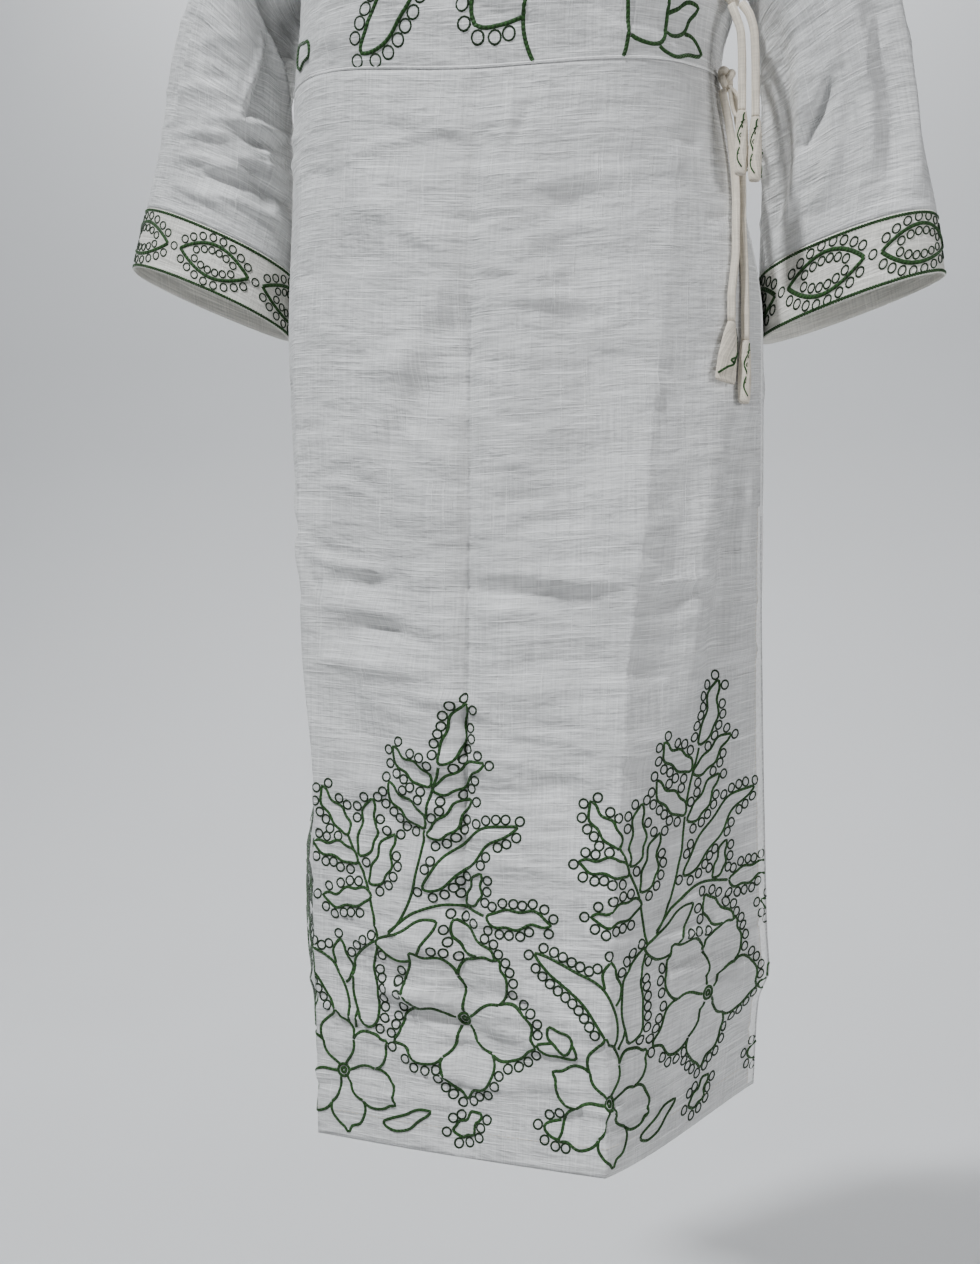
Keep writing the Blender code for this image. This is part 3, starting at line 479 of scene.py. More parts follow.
def surface_normals(points, closed):
    """Outward unit normals of a grid of points, rows upwards and columns with the outside to the right."""
    if closed:
        wrapped = np.concatenate([points[:, -2:-1], points, points[:, 1:2]], axis=1)
        along = (wrapped[:, 2:] - wrapped[:, :-2])
    else:
        along = np.gradient(points, axis=1)
    rise = np.gradient(points, axis=0)
    normal = np.cross(along, rise)
    return normal / np.maximum(np.linalg.norm(normal, axis=2, keepdims=True), 1e-12)


def new_cloth(name, points, across_start, up, closed=False):
    """A cloth from its grid of points, measured across from across_start at column 0 of its rows."""
    steps = np.linalg.norm(np.diff(points, axis=1), axis=2)
    across = np.concatenate([np.zeros((len(points), 1)), np.cumsum(steps, axis=1)], axis=1)
    across += across_start[:, None]
    return Cloth(name, points, surface_normals(points, closed), across, up, closed)


def crease_heights(cloth, creases):
    """How far the creases lift each point of a cloth."""
    across = cloth.across
    up = np.broadcast_to(cloth.up[:, None], across.shape)
    total = np.zeros(across.shape)
    for crease in creases:
        run = np.array([crease.across_1 - crease.across_0, crease.up_1 - crease.up_0])
        length = np.linalg.norm(run)
        run /= length
        along = (across - crease.across_0) * run[0] + (up - crease.up_0) * run[1]
        off = (across - crease.across_0) * -run[1] + (up - crease.up_0) * run[0]
        share = along / length
        near = (share > 0) & (share < 1) & (np.abs(off) < 4 * crease.width)
        if not near.any():
            continue
        ends = np.sin(math.pi * share[near]) ** 0.7
        bow = off[near] - 0.04 * min(length, 0.06) * np.sin(math.pi * share[near])
        total[near] += crease.depth * ends * np.exp(-(bow / crease.width) ** 2)
    return total


def scattered(fields, seed):
    """Small creases scattered over the fields, the same ones each time."""
    chooser = np.random.default_rng(seed)
    creases = []
    for field in fields:
        for _ in range(field.count):
            across = chooser.uniform(field.across_0, field.across_1)
            up = chooser.uniform(field.up_0, field.up_1)
            angle = math.radians(field.lean + chooser.uniform(-1, 1) * field.spread)
            length = field.length * chooser.uniform(0.5, 1.5)
            width = field.width * chooser.uniform(0.7, 1.4)
            depth = field.depth * chooser.uniform(0.5, 1.2) * chooser.choice([-1, 1])
            across_1 = across + length * math.cos(angle)
            up_1 = up + length * math.sin(angle)
            creases.append(Crease(across, up, across_1, up_1, width, depth))
    return creases


def creased(cloth, creases, share):
    """The cloth with its creases raised, which die out at its edges so that the seams stay closed."""
    height = crease_heights(cloth, creases) * share
    low = np.clip((cloth.up - cloth.up[0]) / 0.012, 0, 1)
    high = np.clip((cloth.up[-1] - cloth.up) / 0.012, 0, 1)
    height *= (low * high)[:, None]
    if not cloth.closed:
        left = np.clip((cloth.across - cloth.across[:, :1]) / 0.012, 0, 1)
        right = np.clip((cloth.across[:, -1:] - cloth.across) / 0.012, 0, 1)
        height *= left * right
    points = cloth.points + cloth.normals * height[:, :, None]
    if cloth.closed:
        points[:, -1] = points[:, 0]
    return cloth._replace(points=points, normals=surface_normals(points, cloth.closed))


def skirt_cloth(name, first, columns, rows, slit_edge):
    """A skirt panel, from the hem up to the waist seam."""
    drops = 1 - np.linspace(0, 1, rows + 1)
    points = []
    starts = []
    for drop in drops:
        line = panel_line(skirt_section(drop), first)
        distance = walked(line[:, :2])
        quarter = columns // 4
        shares = []
        for k in range(4):
            start = distance[k * SECTION_SAMPLES] / distance[-1]
            end = distance[(k + 1) * SECTION_SAMPLES] / distance[-1]
            shares.extend(np.linspace(start, end, quarter, endpoint=False))
        shares.append(1.0)
        below = max(0.0, drop - SLIT_TOP_DROP) / (1 - SLIT_TOP_DROP)
        trim = EDGE_TRIM + (SLIT_OPENING * below if slit_edge else 0.0)
        row = cut_line(line, trim, shares)
        seam = edge_heights(row[:, 2], first, "seam") - SEAM_GAP
        hem = edge_heights(row[:, 2], first, "hem")
        points.append(np.column_stack([row[:, :2], seam + (hem - seam) * drop]))
        front = panel_line(skirt_section(drop), RIGHT_SEAM) if first != RIGHT_SEAM else line
        reach = walked(front[:, :2])
        middle = reach[2 * SECTION_SAMPLES]
        starts.append(trim - middle if first == RIGHT_SEAM else reach[-1] - middle + trim)
    points = np.array(points)
    return new_cloth(name, points, np.array(starts), (1 - drops) * SKIRT_LENGTH)


def shoulder_height(x):
    """Height of the shoulder line at a distance from the centre."""
    beyond = (abs(x) - NECK_HALF_WIDTH) / (SHOULDER_TIP_X - NECK_HALF_WIDTH)
    return SHOULDER_TIP_Z * max(0.0, beyond)


def neck_height(x, depth):
    """Height of the neck opening's edge at a distance from the centre."""
    return -depth * math.sqrt(max(0.0, 1 - (x / NECK_HALF_WIDTH) ** 2))


def roll_power(x):
    """How round the cloth rolls back to the shoulder line at a distance from the centre."""
    share = np.clip((abs(x) - ROLL_START_X) / (ROLL_END_X - ROLL_START_X), 0, 1)
    return NECK_ROLL + (SHOULDER_ROLL - NECK_ROLL) * share * share * (3 - 2 * share)


def shoulder_row(chest, share, neck_depth):
    """A row of the bodice above the chest line, which reaches the shoulder or the neck edge at share 1."""
    edge = max(abs(chest[0, 0]), abs(chest[-1, 0]))
    row = []
    for x, y, z in chest:
        side = x / edge
        x_top = side * SHOULDER_TIP_X
        power = roll_power(x_top)
        top = shoulder_height(x_top)
        stop = math.pi / 2
        if abs(x_top) < NECK_HALF_WIDTH * 0.999:
            reach = (neck_height(x_top, neck_depth) - CHEST_Z) / (0 - CHEST_Z)
            stop = math.asin(min(1.0, reach ** (power / 2)))
        angle = share * stop
        height = CHEST_Z + (top - CHEST_Z) * math.sin(angle) ** (2 / power)
        depth = math.copysign(max(abs(y) * max(math.cos(angle), 0.0) ** (2 / power), 0.0004), y)
        straight = edge + (SHOULDER_TIP_X - edge) * share
        armhole = smooth_through([r.z for r in ARMHOLE], [r.x for r in ARMHOLE], height)
        edge_here = straight + (armhole - straight) * side * side
        row.append((side * float(edge_here), depth, height))
    return np.array(row)


BODICE_NECK_COLUMNS = 16
BODICE_SHOULDER_COLUMNS = 26
BODICE_LOW_ROWS = 24
BODICE_ARMHOLE_ROWS = 10
BODICE_SHOULDER_ROWS = 44


def bodice_rows(first, neck_depth):
    """Rows of points of a bodice panel, from the waist seam up to the shoulder."""
    neck = NECK_HALF_WIDTH / SHOULDER_TIP_X
    inner = neck * np.sin(np.linspace(0, math.pi / 2, BODICE_NECK_COLUMNS, endpoint=False))
    outer = np.linspace(neck, 1, BODICE_SHOULDER_COLUMNS + 1)
    half = np.concatenate([inner, outer])
    across = (np.concatenate([-half[:0:-1], half]) + 1) / 2
    low = list(np.linspace(-0.300, UNDERARM_Z, BODICE_LOW_ROWS, endpoint=False))
    rises = [1 - math.cos(math.pi / 2 * k / BODICE_ARMHOLE_ROWS) for k in range(BODICE_ARMHOLE_ROWS + 1)]
    levels = low + [UNDERARM_Z + (CHEST_Z - UNDERARM_Z) * rise for rise in rises]
    rows = []
    for z in levels:
        line = panel_line(bodice_section(z), first)
        rise = max(0.0, z - UNDERARM_Z) / (CHEST_Z - UNDERARM_Z)
        inset = ARMHOLE_INSET * math.sqrt(max(0.0, 1 - (1 - rise) ** 2))
        row = cut_line(line, EDGE_TRIM + inset, across)
        seam = edge_heights(row[:, 2], first, "seam")
        share = (z + 0.300) / (UNDERARM_Z + 0.300)
        heights = seam + (UNDERARM_Z - seam) * share if share < 1 else np.full(len(row), z)
        rows.append(np.column_stack([row[:, :2], heights]))
    chest = rows[-1]
    for k in range(1, BODICE_SHOULDER_ROWS + 1):
        rows.append(shoulder_row(chest, math.sin(math.pi / 2 * k / BODICE_SHOULDER_ROWS) ** 0.9, neck_depth))
    return np.array(rows)


def bodice_cloth(name, rows, centre):
    """A bodice panel as cloth, with its middle column at the given distance across."""
    middle = rows.shape[1] // 2
    steps = np.linalg.norm(np.diff(rows, axis=1), axis=2)
    starts = centre - np.cumsum(steps, axis=1)[:, middle - 1]
    up = walked(rows[:, middle // 2])
    return new_cloth(name, rows, starts, up)


SLEEVE_COLUMNS = 112
SLEEVE_ROWS = 96
CUFF_ROWS = 18


def armhole_loop(front_rows, back_rows, side):
    """Edge of the armhole as a closed loop from the shoulder tip, down the front and up the back."""
    column = 0 if side < 0 else -1
    edge_f = [row[column] for row in front_rows if row[column][2] > UNDERARM_Z - 0.0005]
    column_b = -1 if side < 0 else 0
    edge_b = [row[column_b] for row in back_rows if row[column_b][2] > UNDERARM_Z - 0.0005]
    under = (edge_f[0] + edge_b[0]) / 2
    tip = (edge_f[-1] + edge_b[-1]) / 2
    down = np.array([tip] + edge_f[-2:0:-1] + [under])
    up = np.array([under] + edge_b[1:-1] + [tip])
    half = SLEEVE_COLUMNS // 2
    loop = np.vstack([even_steps(down, half), even_steps(up, half)[1:]])
    height = (loop[:, 2] - UNDERARM_Z) / (SHOULDER_TIP_Z - UNDERARM_Z)
    loop[:, 0] += side * (SEAM_GAP * 2 + SHOULDER_STEP * height)
    return loop


def oval(ring):
    """Points of a sleeve ring from its outer end, over the front to the inner end and back behind."""
    outer = np.array(ring.outer)
    inner = np.array(ring.inner)
    half_width = (outer - inner) / 2
    out = half_width / np.linalg.norm(half_width)
    forward = np.array([0.0, -1.0, 0.0])
    forward -= out * forward.dot(out)
    forward /= np.linalg.norm(forward)
    angle = np.linspace(0, 2 * math.pi, SLEEVE_COLUMNS * 8 + 1)
    c = np.sign(np.cos(angle)) * np.abs(np.cos(angle)) ** (2 / OVAL_POWER)
    s = np.sign(np.sin(angle)) * np.abs(np.sin(angle)) ** (2 / OVAL_POWER)
    lift = np.where(s > 0, ring.front_lift * s, -ring.back_lift * s)
    points = (outer + inner) / 2 + c[:, None] * half_width + s[:, None] * forward * ring.half_depth
    points[:, 2] += lift
    return even_steps(points, SLEEVE_COLUMNS)


def sleeve_cloth(name, loop, rings, start, end, count, side):
    """A sleeve or a cuff as a closed cloth between two shares of the sleeve's length, lowest row first."""
    places = [0.0] + [ring.along for ring in rings]
    shapes = [loop] + [oval(ring) for ring in rings]
    rows = np.array([smooth_through(places, shapes, at) for at in np.linspace(end, start, count + 1)])
    if side > 0:
        rows = rows[:, ::-1]
    up = walked(rows[:, SLEEVE_COLUMNS // 4])
    return new_cloth(name, rows, np.zeros(len(rows)), up, closed=True)


def tube_cloth(name, path, half_width, half_depth, widthways, sides=20):
    """A tube along a path, from its foot up, with an oval section whose width lies along widthways."""
    path = np.asarray(path, float)
    tangent = np.gradient(path, axis=0)
    tangent /= np.linalg.norm(tangent, axis=1)[:, None]
    wide = np.broadcast_to(np.asarray(widthways, float), path.shape)
    wide = wide - tangent * np.sum(wide * tangent, axis=1)[:, None]
    wide /= np.linalg.norm(wide, axis=1)[:, None]
    deep = np.cross(tangent, wide)
    angle = np.linspace(0, 2 * math.pi, sides + 1)
    half_width = np.broadcast_to(half_width, len(path))
    half_depth = np.broadcast_to(half_depth, len(path))
    points = (path[:, None] + wide[:, None] * (np.cos(angle)[None] * half_width[:, None])[:, :, None]
              + deep[:, None] * (np.sin(angle)[None] * half_depth[:, None])[:, :, None])
    points[:, -1] = points[:, 0]
    return new_cloth(name, points, np.zeros(len(points)), walked(path), closed=True)


def lay_on(cloth, flat, lift):
    """Places of flat points on a cloth, lifted off it, and whether each lies inside the cloth's edges."""
    shape = flat.shape[:-1]
    across = flat[..., 0].ravel()
    up = flat[..., 1].ravel()
    if cloth.closed:
        across = np.mod(across, cloth.across[0, -1])
    rows = len(cloth.up)
    columns = np.arange(cloth.points.shape[1])
    row = np.interp(up, cloth.up, np.arange(rows))
    low = np.minimum(row.astype(int), rows - 2)
    part = row - low
    column = np.empty_like(across)
    inside = (up >= cloth.up[0] - 1e-6) & (up <= cloth.up[-1] + 1e-6)
    for r in np.unique(low):
        here = low == r
        lower = np.interp(across[here], cloth.across[r], columns)
        upper = np.interp(across[here], cloth.across[r + 1], columns)
        column[here] = lower + (upper - lower) * part[here]
        if not cloth.closed:
            inside[here] &= (across[here] > cloth.across[r, 0]) & (across[here] < cloth.across[r, -1])
    left = np.minimum(column.astype(int), len(columns) - 2)
    share = (column - left)[:, None]
    part = part[:, None]

    def blended(grid):
        lower = grid[low, left] * (1 - share) + grid[low, left + 1] * share
        upper = grid[low + 1, left] * (1 - share) + grid[low + 1, left + 1] * share
        return lower * (1 - part) + upper * part

    places = blended(cloth.points) + blended(cloth.normals) * lift.ravel()[:, None]
    return places.reshape(shape + (3,)), inside.reshape(shape)


def cloth_object(cloth, wall=0.0):
    """A mesh grid laid over a cloth's points, with its flat coordinates as a UV map, and a wall if asked."""
    rows, columns = cloth.points.shape[:2]
    bm = bmesh.new()
    bmesh.ops.create_grid(bm, x_segments=columns - 1, y_segments=rows - 1, size=0.5)
    flat = bm.loops.layers.uv.new("flat")
    for vert in bm.verts:
        column = round((vert.co.x + 0.5) * (columns - 1))
        row = round((vert.co.y + 0.5) * (rows - 1))
        vert.co = cloth.points[row, column]
        for loop in vert.link_loops:
            loop[flat].uv = (cloth.across[row, column], cloth.up[row])
    if cloth.closed:
        bmesh.ops.remove_doubles(bm, verts=bm.verts, dist=1e-6)
    for face in bm.faces:
        face.smooth = True
    obj = linked(cloth.name, bm)
    if wall:
        modifier = obj.modifiers.new("cloth", "SOLIDIFY")
        modifier.thickness = wall
        modifier.offset = -1.0
        modifier.use_rim = True
    return obj


def closed_tube(cloth):
    """A tube of cloth with its two ends filled."""
    obj = cloth_object(cloth)
    bm = bmesh.new()
    bm.from_mesh(obj.data)
    bmesh.ops.holes_fill(bm, edges=bm.edges)
    bm.to_mesh(obj.data)
    bm.free()
    return obj


def linked(name, bm):
    """An object in the scene from a finished bmesh."""
    mesh = bpy.data.meshes.new(name)
    bm.to_mesh(mesh)
    bm.free()
    obj = bpy.data.objects.new(name, mesh)
    bpy.context.scene.collection.objects.link(obj)
    return obj


Strand = namedtuple("Strand", "path width height")


def strand_object(name, cloth, strands):
    """Raised threads on a cloth: each has a sharp back and two slopes that end just under the cloth."""
    pieces = []
    for strand in strands:
        path = np.asarray(strand.path, float)
        if len(path) < 2:
            continue
        tangent = np.gradient(path, axis=0)
        tangent /= np.maximum(np.linalg.norm(tangent, axis=1)[:, None], 1e-9)
        side = np.stack([-tangent[:, 1], tangent[:, 0]], axis=1) * strand.width / 2
        flat = np.stack([path + side, path, path - side], axis=1)
        lift = np.broadcast_to(np.array([-0.0002, strand.height, -0.0002]), flat.shape[:2])
        places, inside = lay_on(cloth, flat, lift)
        distance = walked(path)
        keep = inside.all(axis=1)
        start = None
        for k in range(len(path) + 1):
            if k < len(path) and keep[k]:
                start = k if start is None else start
            elif start is not None:
                if k - start > 1:
                    pieces.append((places[start:k], distance[start:k]))
                start = None
    if not pieces:
        raise RuntimeError(f"{name} has no thread on its cloth")
    points = np.concatenate([piece[0] for piece in pieces])
    along = np.concatenate([piece[1] for piece in pieces])
    ends = set(np.cumsum([len(piece[0]) for piece in pieces]) - 1)
    bm = bmesh.new()
    bmesh.ops.create_grid(bm, x_segments=2, y_segments=len(points) - 1, size=0.5)
    layer = bm.verts.layers.float.new("along")
    across = bm.verts.layers.float.new("across")
    count = len(points) - 1
    rows = {}
    for vert in bm.verts:
        column = round((vert.co.x + 0.5) * 2)
        row = round((vert.co.y + 0.5) * count)
        rows[vert.index] = row
        vert.co = points[row, column]
        vert[layer] = along[row]
        vert[across] = float(column - 1)
    bm.verts.index_update()
    between = [face for face in bm.faces if min(rows[v.index] for v in face.verts) in ends]
    bmesh.ops.delete(bm, geom=between, context="FACES_ONLY")
    for face in bm.faces:
        face.smooth = True
    return linked(name, bm)


class Value:
    """A socket of a finish's nodes, on which maths is written as Python."""

    def __init__(self, finish, socket):
        self.finish = finish
        self.socket = socket

    def maths(self, operation, *values):
        node = self.finish.node("ShaderNodeMath", {"operation": operation})
        for socket, value in zip(node.inputs, values):
            self.finish.feed(socket, value)
        return Value(self.finish, node.outputs[0])

    def __add__(self, other):
        return self.maths("ADD", self, other)

    __radd__ = __add__

    def __mul__(self, other):
        return self.maths("MULTIPLY", self, other)

    __rmul__ = __mul__

    def __sub__(self, other):
        return self.maths("SUBTRACT", self, other)

    def __rsub__(self, other):
        return self.maths("SUBTRACT", other, self)

    def __pow__(self, other):
        return self.maths("POWER", self, other)

    def __abs__(self):
        return self.maths("ABSOLUTE", self)

    def sine(self):
        return self.maths("SINE", self)

    def between(self, low, high):
        """The value from low to high stretched to 0 to 1, smoothly and held at the ends."""
        node = self.finish.node("ShaderNodeMapRange", {"interpolation_type": "SMOOTHSTEP"},
                                Value=self, **{"From Min": low, "From Max": high})
        return Value(self.finish, node.outputs[0])


class Finish:
    """A material and its nodes."""

    def __init__(self, name):
        self.material = bpy.data.materials.new(name)
        self.material.use_nodes = True
        self.tree = self.material.node_tree
        self.shader = self.tree.nodes["Principled BSDF"]

    def feed(self, socket, value):
        if isinstance(value, Value):
            self.tree.links.new(value.socket, socket)
        else:
            socket.default_value = value

    def node(self, kind, settings=None, **sockets):
        node = self.tree.nodes.new(kind)
        for key, value in (settings or {}).items():
            setattr(node, key, value)
        for key, value in sockets.items():
            self.feed(node.inputs[key], value)
        return node

    def value(self, node, output=0):
        return Value(self, node.outputs[output])

    def noise(self, vector, scale, detail=2.0, roughness=0.5):
        node = self.node("ShaderNodeTexNoise", None, Vector=vector, Scale=scale, Detail=detail,
                         Roughness=roughness)
        return self.value(node, "Fac")

    def stretched(self, vector, scale):
        node = self.node("ShaderNodeMapping", {"vector_type": "POINT"}, Vector=vector, Scale=scale)
        return self.value(node)

    def blend(self, share, first, second):
        node = self.node("ShaderNodeMix", {"data_type": "RGBA", "clamp_factor": True})
        self.feed(node.inputs[0], share)
        self.feed(node.inputs[6], first)
        self.feed(node.inputs[7], second)
        return self.value(node, 2)

    def shine(self, **sockets):
        for key, value in sockets.items():
            self.feed(self.shader.inputs[key.replace("_", " ")], value)


def shade(colour, share):
    """A colour made lighter or darker."""
    return (colour[0] * share, colour[1] * share, colour[2] * share, 1.0)


def cotton(name, colour, slub, crumple, lengthways=False):
    """Hand-loom cotton: a plain weave with thick places in both its threads, cloudy darker patches that are
    partly uneven tone and partly painted shade of broad lumps, and faint crumples.
    """
    finish = Finish(name)
    flat = finish.value(finish.node("ShaderNodeUVMap", {"uv_map": "flat"}))
    if lengthways:
        flat = finish.value(finish.node("ShaderNodeMapping", {"vector_type": "POINT"}, Vector=flat,
                                        Rotation=(0, 0, math.pi / 2)))
    weft = finish.noise(finish.stretched(flat, (22.0, 620.0, 1.0)), 1.0, 3.0, 0.6)
    warp = finish.noise(finish.stretched(flat, (620.0, 18.0, 1.0)), 1.0, 3.0, 0.6)
    thick_weft = finish.noise(finish.stretched(flat, (16.0, 520.0, 1.0)), 1.0, 1.0).between(0.56, 0.70)
    thick_warp = finish.noise(finish.stretched(flat, (480.0, 12.0, 1.0)), 1.0, 1.0).between(0.62, 0.74)
    # Cloudy darker patches: partly the cloth's uneven tone, partly painted shade where broad lumps turn from
    # the light
    cloudy_tone_and_shade = finish.noise(finish.stretched(flat, (7.0, 13.0, 1.0)), 1.0, 4.0, 0.6)
    grain = finish.noise(flat, 1500.0, 2.0, 0.6)
    streaks = weft * 0.62 + warp * 0.38
    woven = finish.blend(streaks.between(0.38, 0.62), shade(colour, 0.80), shade(colour, 1.12))
    patchy_tone_and_shade = finish.blend(cloudy_tone_and_shade.between(0.36, 0.66) * 0.5, woven, shade(colour, 0.78))
    knotted = finish.blend((thick_weft + thick_warp * 0.7) * 0.6 * slub, patchy_tone_and_shade, shade(colour, 1.32))
    broad = finish.noise(finish.stretched(flat, (8.0, 24.0, 1.0)), 1.0, 2.0, 0.5)
    soft = finish.noise(finish.stretched(flat, (26.0, 66.0, 1.0)), 1.0, 3.0, 0.55)
    fine = finish.noise(finish.stretched(flat, (90.0, 300.0, 1.0)), 1.0, 2.0, 0.5)
    crumpled = finish.node("ShaderNodeBump", None, Strength=1.0, Distance=0.0046 * crumple,
                           Height=broad * 1.2 + soft + fine * 0.16)
    height = streaks * 0.9 + grain * 0.35 + (thick_weft + thick_warp) * 0.5 * slub
    bump = finish.node("ShaderNodeBump", None, Strength=1.0, Distance=0.0006, Height=height,
                       Normal=finish.value(crumpled))
    finish.shine(Base_Color=knotted, Roughness=0.86, Normal=finish.value(bump), Sheen_Weight=0.2,
                 Sheen_Roughness=0.45, Specular_IOR_Level=0.28)
    return finish.material


def chain_thread(name, dark, light, pitch):
    """Embroidery thread worked in small links, its two greens blended by a painted highlight on the links'
    backs, painted shade between them and towards the thread's sides, and random flecks.
    """
    finish = Finish(name)
    along = finish.value(finish.node("ShaderNodeAttribute", {"attribute_name": "along"}), "Fac")
    across = finish.value(finish.node("ShaderNodeAttribute", {"attribute_name": "across"}), "Fac")
    slanted = along + abs(across) * (pitch * 0.5)
    link = (slanted * (2 * math.pi / pitch)).sine() * 0.5 + 0.5
    body = finish.value(finish.node("ShaderNodeTexCoord"), "Object")
    fleck = finish.noise(body, 260.0, 2.0)
    # Share of the lighter green: painted highlight on each link's back, painted shade between links and
    # towards the thread's sides, and random flecks of thread tone
    share = (link * 0.6 + 0.4) * (1 - abs(across) * 0.5) * (fleck.between(0.3, 0.65) * 0.5 + 0.5)
    colour = finish.blend(share, dark, light)
    bump = finish.node("ShaderNodeBump", None, Strength=0.6, Distance=0.0006, Height=link + fleck * 0.5)
    finish.shine(Base_Color=colour, Roughness=0.55, Normal=finish.value(bump), Sheen_Weight=0.3,
                 Specular_IOR_Level=0.4)
    return finish.material


def plain_thread(name, colour):
    """Sewing thread, or a seam ridge and turned edge, in the colour given to it, with random flecks."""
    finish = Finish(name)
    body = finish.value(finish.node("ShaderNodeTexCoord"), "Object")
    fleck = finish.noise(body, 420.0, 3.0)
    bump = finish.node("ShaderNodeBump", None, Strength=0.5, Distance=0.0005, Height=fleck)
    finish.shine(Base_Color=finish.blend(fleck.between(0.3, 0.7), shade(colour, 0.9), shade(colour, 1.06)),
                 Roughness=0.85, Normal=finish.value(bump), Sheen_Weight=0.2)
    return finish.material


def backdrop_paper(name, colour):
    """Matt studio paper."""
    finish = Finish(name)
    body = finish.value(finish.node("ShaderNodeTexCoord"), "Object")
    tone = finish.noise(body, 1.5, 2.0)
    finish.shine(Base_Color=finish.blend(tone, shade(colour, 0.98), shade(colour, 1.02)), Roughness=0.95,
                 Specular_IOR_Level=0.1)
    return finish.material


def dress(obj, material, slot, *nodes):
    """Gives a piece its material and its body, and lets it stand for CAD nodes; slot is not used."""
    obj.data.materials.clear()
    obj.data.materials.append(material)
    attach(obj, "root")
    if nodes:
        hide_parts(*nodes)
    return obj


def hang_sheet(cloth):
    """Works out the flat size that a piece of cloth was cut to; nothing uses it."""
    width = cloth.across[:, -1] - cloth.across[:, 0]
    length = cloth.up[-1] - cloth.up[0]
    area = float(np.sum((width[1:] + width[:-1]) / 2 * np.diff(cloth.up)))


# Finished cloths and pieces that the operators share
CLOTHS = {}
FINISHES = {}


def make_cloths(sizes):
    """Works out every piece of cloth with its creases."""
    depth = sizes.crease_share
    front = bodice_rows(RIGHT_SEAM, NECK_FRONT_DEPTH)
    back = bodice_rows(LEFT_SEAM, NECK_BACK_DEPTH)
    skirt = skirt_cloth("front_skirt_cloth", RIGHT_SEAM, 200, 232, False)
    creases = list(FRONT_SKIRT_CREASES) + scattered(FRONT_SKIRT_FIELDS, 3)
    CLOTHS["front_skirt"] = creased(skirt, creases, depth)
    skirt = skirt_cloth("back_skirt_cloth", LEFT_SEAM, 148, 180, True)
    CLOTHS["back_skirt"] = creased(skirt, list(BACK_SKIRT_CREASES) + scattered(BACK_SKIRT_FIELDS, 4), depth)
    round_body = float(CLOTHS["back_skirt"].across[-1, -1] - CLOTHS["front_skirt"].across[-1, 0])
    bodice = bodice_cloth("front_bodice_cloth", front, 0.0)
    CLOTHS["front_bodice"] = creased(bodice, list(FRONT_BODICE_CREASES) + scattered(BODICE_FIELDS, 5), depth)
    bodice = bodice_cloth("back_bodice_cloth", back, round_body / 2)
    creases = list(BACK_BODICE_CREASES) + scattered(BACK_BODICE_FIELDS, 6)
    CLOTHS["back_bodice"] = creased(bodice, creases, depth)
    sides = (("right", -1, RIGHT_SLEEVE, RIGHT_SLEEVE_CREASES), ("left", 1, LEFT_SLEEVE, LEFT_SLEEVE_CREASES))
    for name, side, rings, creases in sides:
        loop = armhole_loop(front, back, side)
        sleeve = sleeve_cloth(f"{name}_sleeve_cloth", loop, rings, 0.0, 1.0, SLEEVE_ROWS, side)
        CLOTHS[f"{name}_sleeve"] = creased(sleeve, list(creases) + scattered(SLEEVE_FIELDS, 7 + side), depth)
        start = 1.0 + SEAM_GAP / SLEEVE_LENGTH
        CLOTHS[f"{name}_cuff"] = sleeve_cloth(f"{name}_cuff_cloth", loop, rings, start, 1.2, CUFF_ROWS, side)


def curve_through(points, step=0.003):
    """Flat points at even steps along a soft curve through a few places."""
    points = np.asarray(points, float)
    distance = walked(points)
    count = max(4, int(distance[-1] / step))
    fine = np.array([smooth_through(distance, points, at) for at in np.linspace(0, distance[-1], 6 * count)])
    return even_steps(fine, count)


def placed(outline, base, angle):
    """Flat points turned by an angle in degrees, clockwise from straight up, and moved to their base."""
    turn = math.radians(angle)
    across = outline[:, 0] * math.cos(turn) + outline[:, 1] * math.sin(turn)
    up = -outline[:, 0] * math.sin(turn) + outline[:, 1] * math.cos(turn)
    return np.stack([across + base[0], up + base[1]], axis=1)


def leaf_outline(base, angle, length, width, bend=0.0, wave=0.0, step=0.0026):
    """Closed outline of a leaf with wavy sides from its base to its pointed tip and back."""
    t = np.linspace(0, 1, 60)
    half = width / 2 * np.sin(math.pi * t ** 0.8) ** 0.62 * (1 - 0.16 * t)
    lobes = wave * np.sin(math.pi * t) ** 0.5
    spine = bend * np.sin(math.pi * t) + 0.12 * width * np.sin(2 * math.pi * t)
    right = np.stack([spine + half + lobes * np.sin(t * math.pi * 5.0), t * length], axis=1)
    left = np.stack([spine - half + lobes * np.sin(t * math.pi * 4.2 + 1.0), t * length], axis=1)[::-1]
    outline = placed(np.vstack([right, left[1:]]), base, angle)
    return even_steps(outline, max(14, int(walked(outline)[-1] / step)))


def flower_lines(centre, petals, turn, radius, wave, step=0.0026):
    """The wavy rim of a flower whose broad petals touch, and the lines between them to its eye."""
    angle = np.linspace(0, 2 * math.pi, 361)
    start = math.radians(turn)
    lobe = petals * (angle - start) / 2
    number = np.floor((angle - start) % (2 * math.pi) / (2 * math.pi / petals))
    reach = 1 + 0.10 * np.sin(2.3 * number + petals)
    swell = np.abs(np.sin(lobe)) ** 0.55
    tip = np.exp(-((lobe % math.pi - math.pi * 0.56) / 0.16) ** 2)
    ripple = wave * np.sin(6 * lobe + number) * swell
    rim = radius * (0.56 + (0.34 * reach + 0.02) * swell + 0.10 * tip + ripple)
    outline = np.stack([centre[0] + rim * np.sin(angle), centre[1] + rim * np.cos(angle)], axis=1)
    outline = even_steps(outline, int(walked(outline)[-1] / step))
    dividers = []
    for k in range(petals):
        out = np.linspace(0.11, 0.56, 16)
        bearing = start + 2 * math.pi * k / petals + 0.16 * np.sin((out - 0.11) * 7.0) * (-1) ** k
        line = np.stack([centre[0] + radius * out * np.sin(bearing),
                         centre[1] + radius * out * np.cos(bearing)], axis=1)
        dividers.append(line)
    return outline, dividers


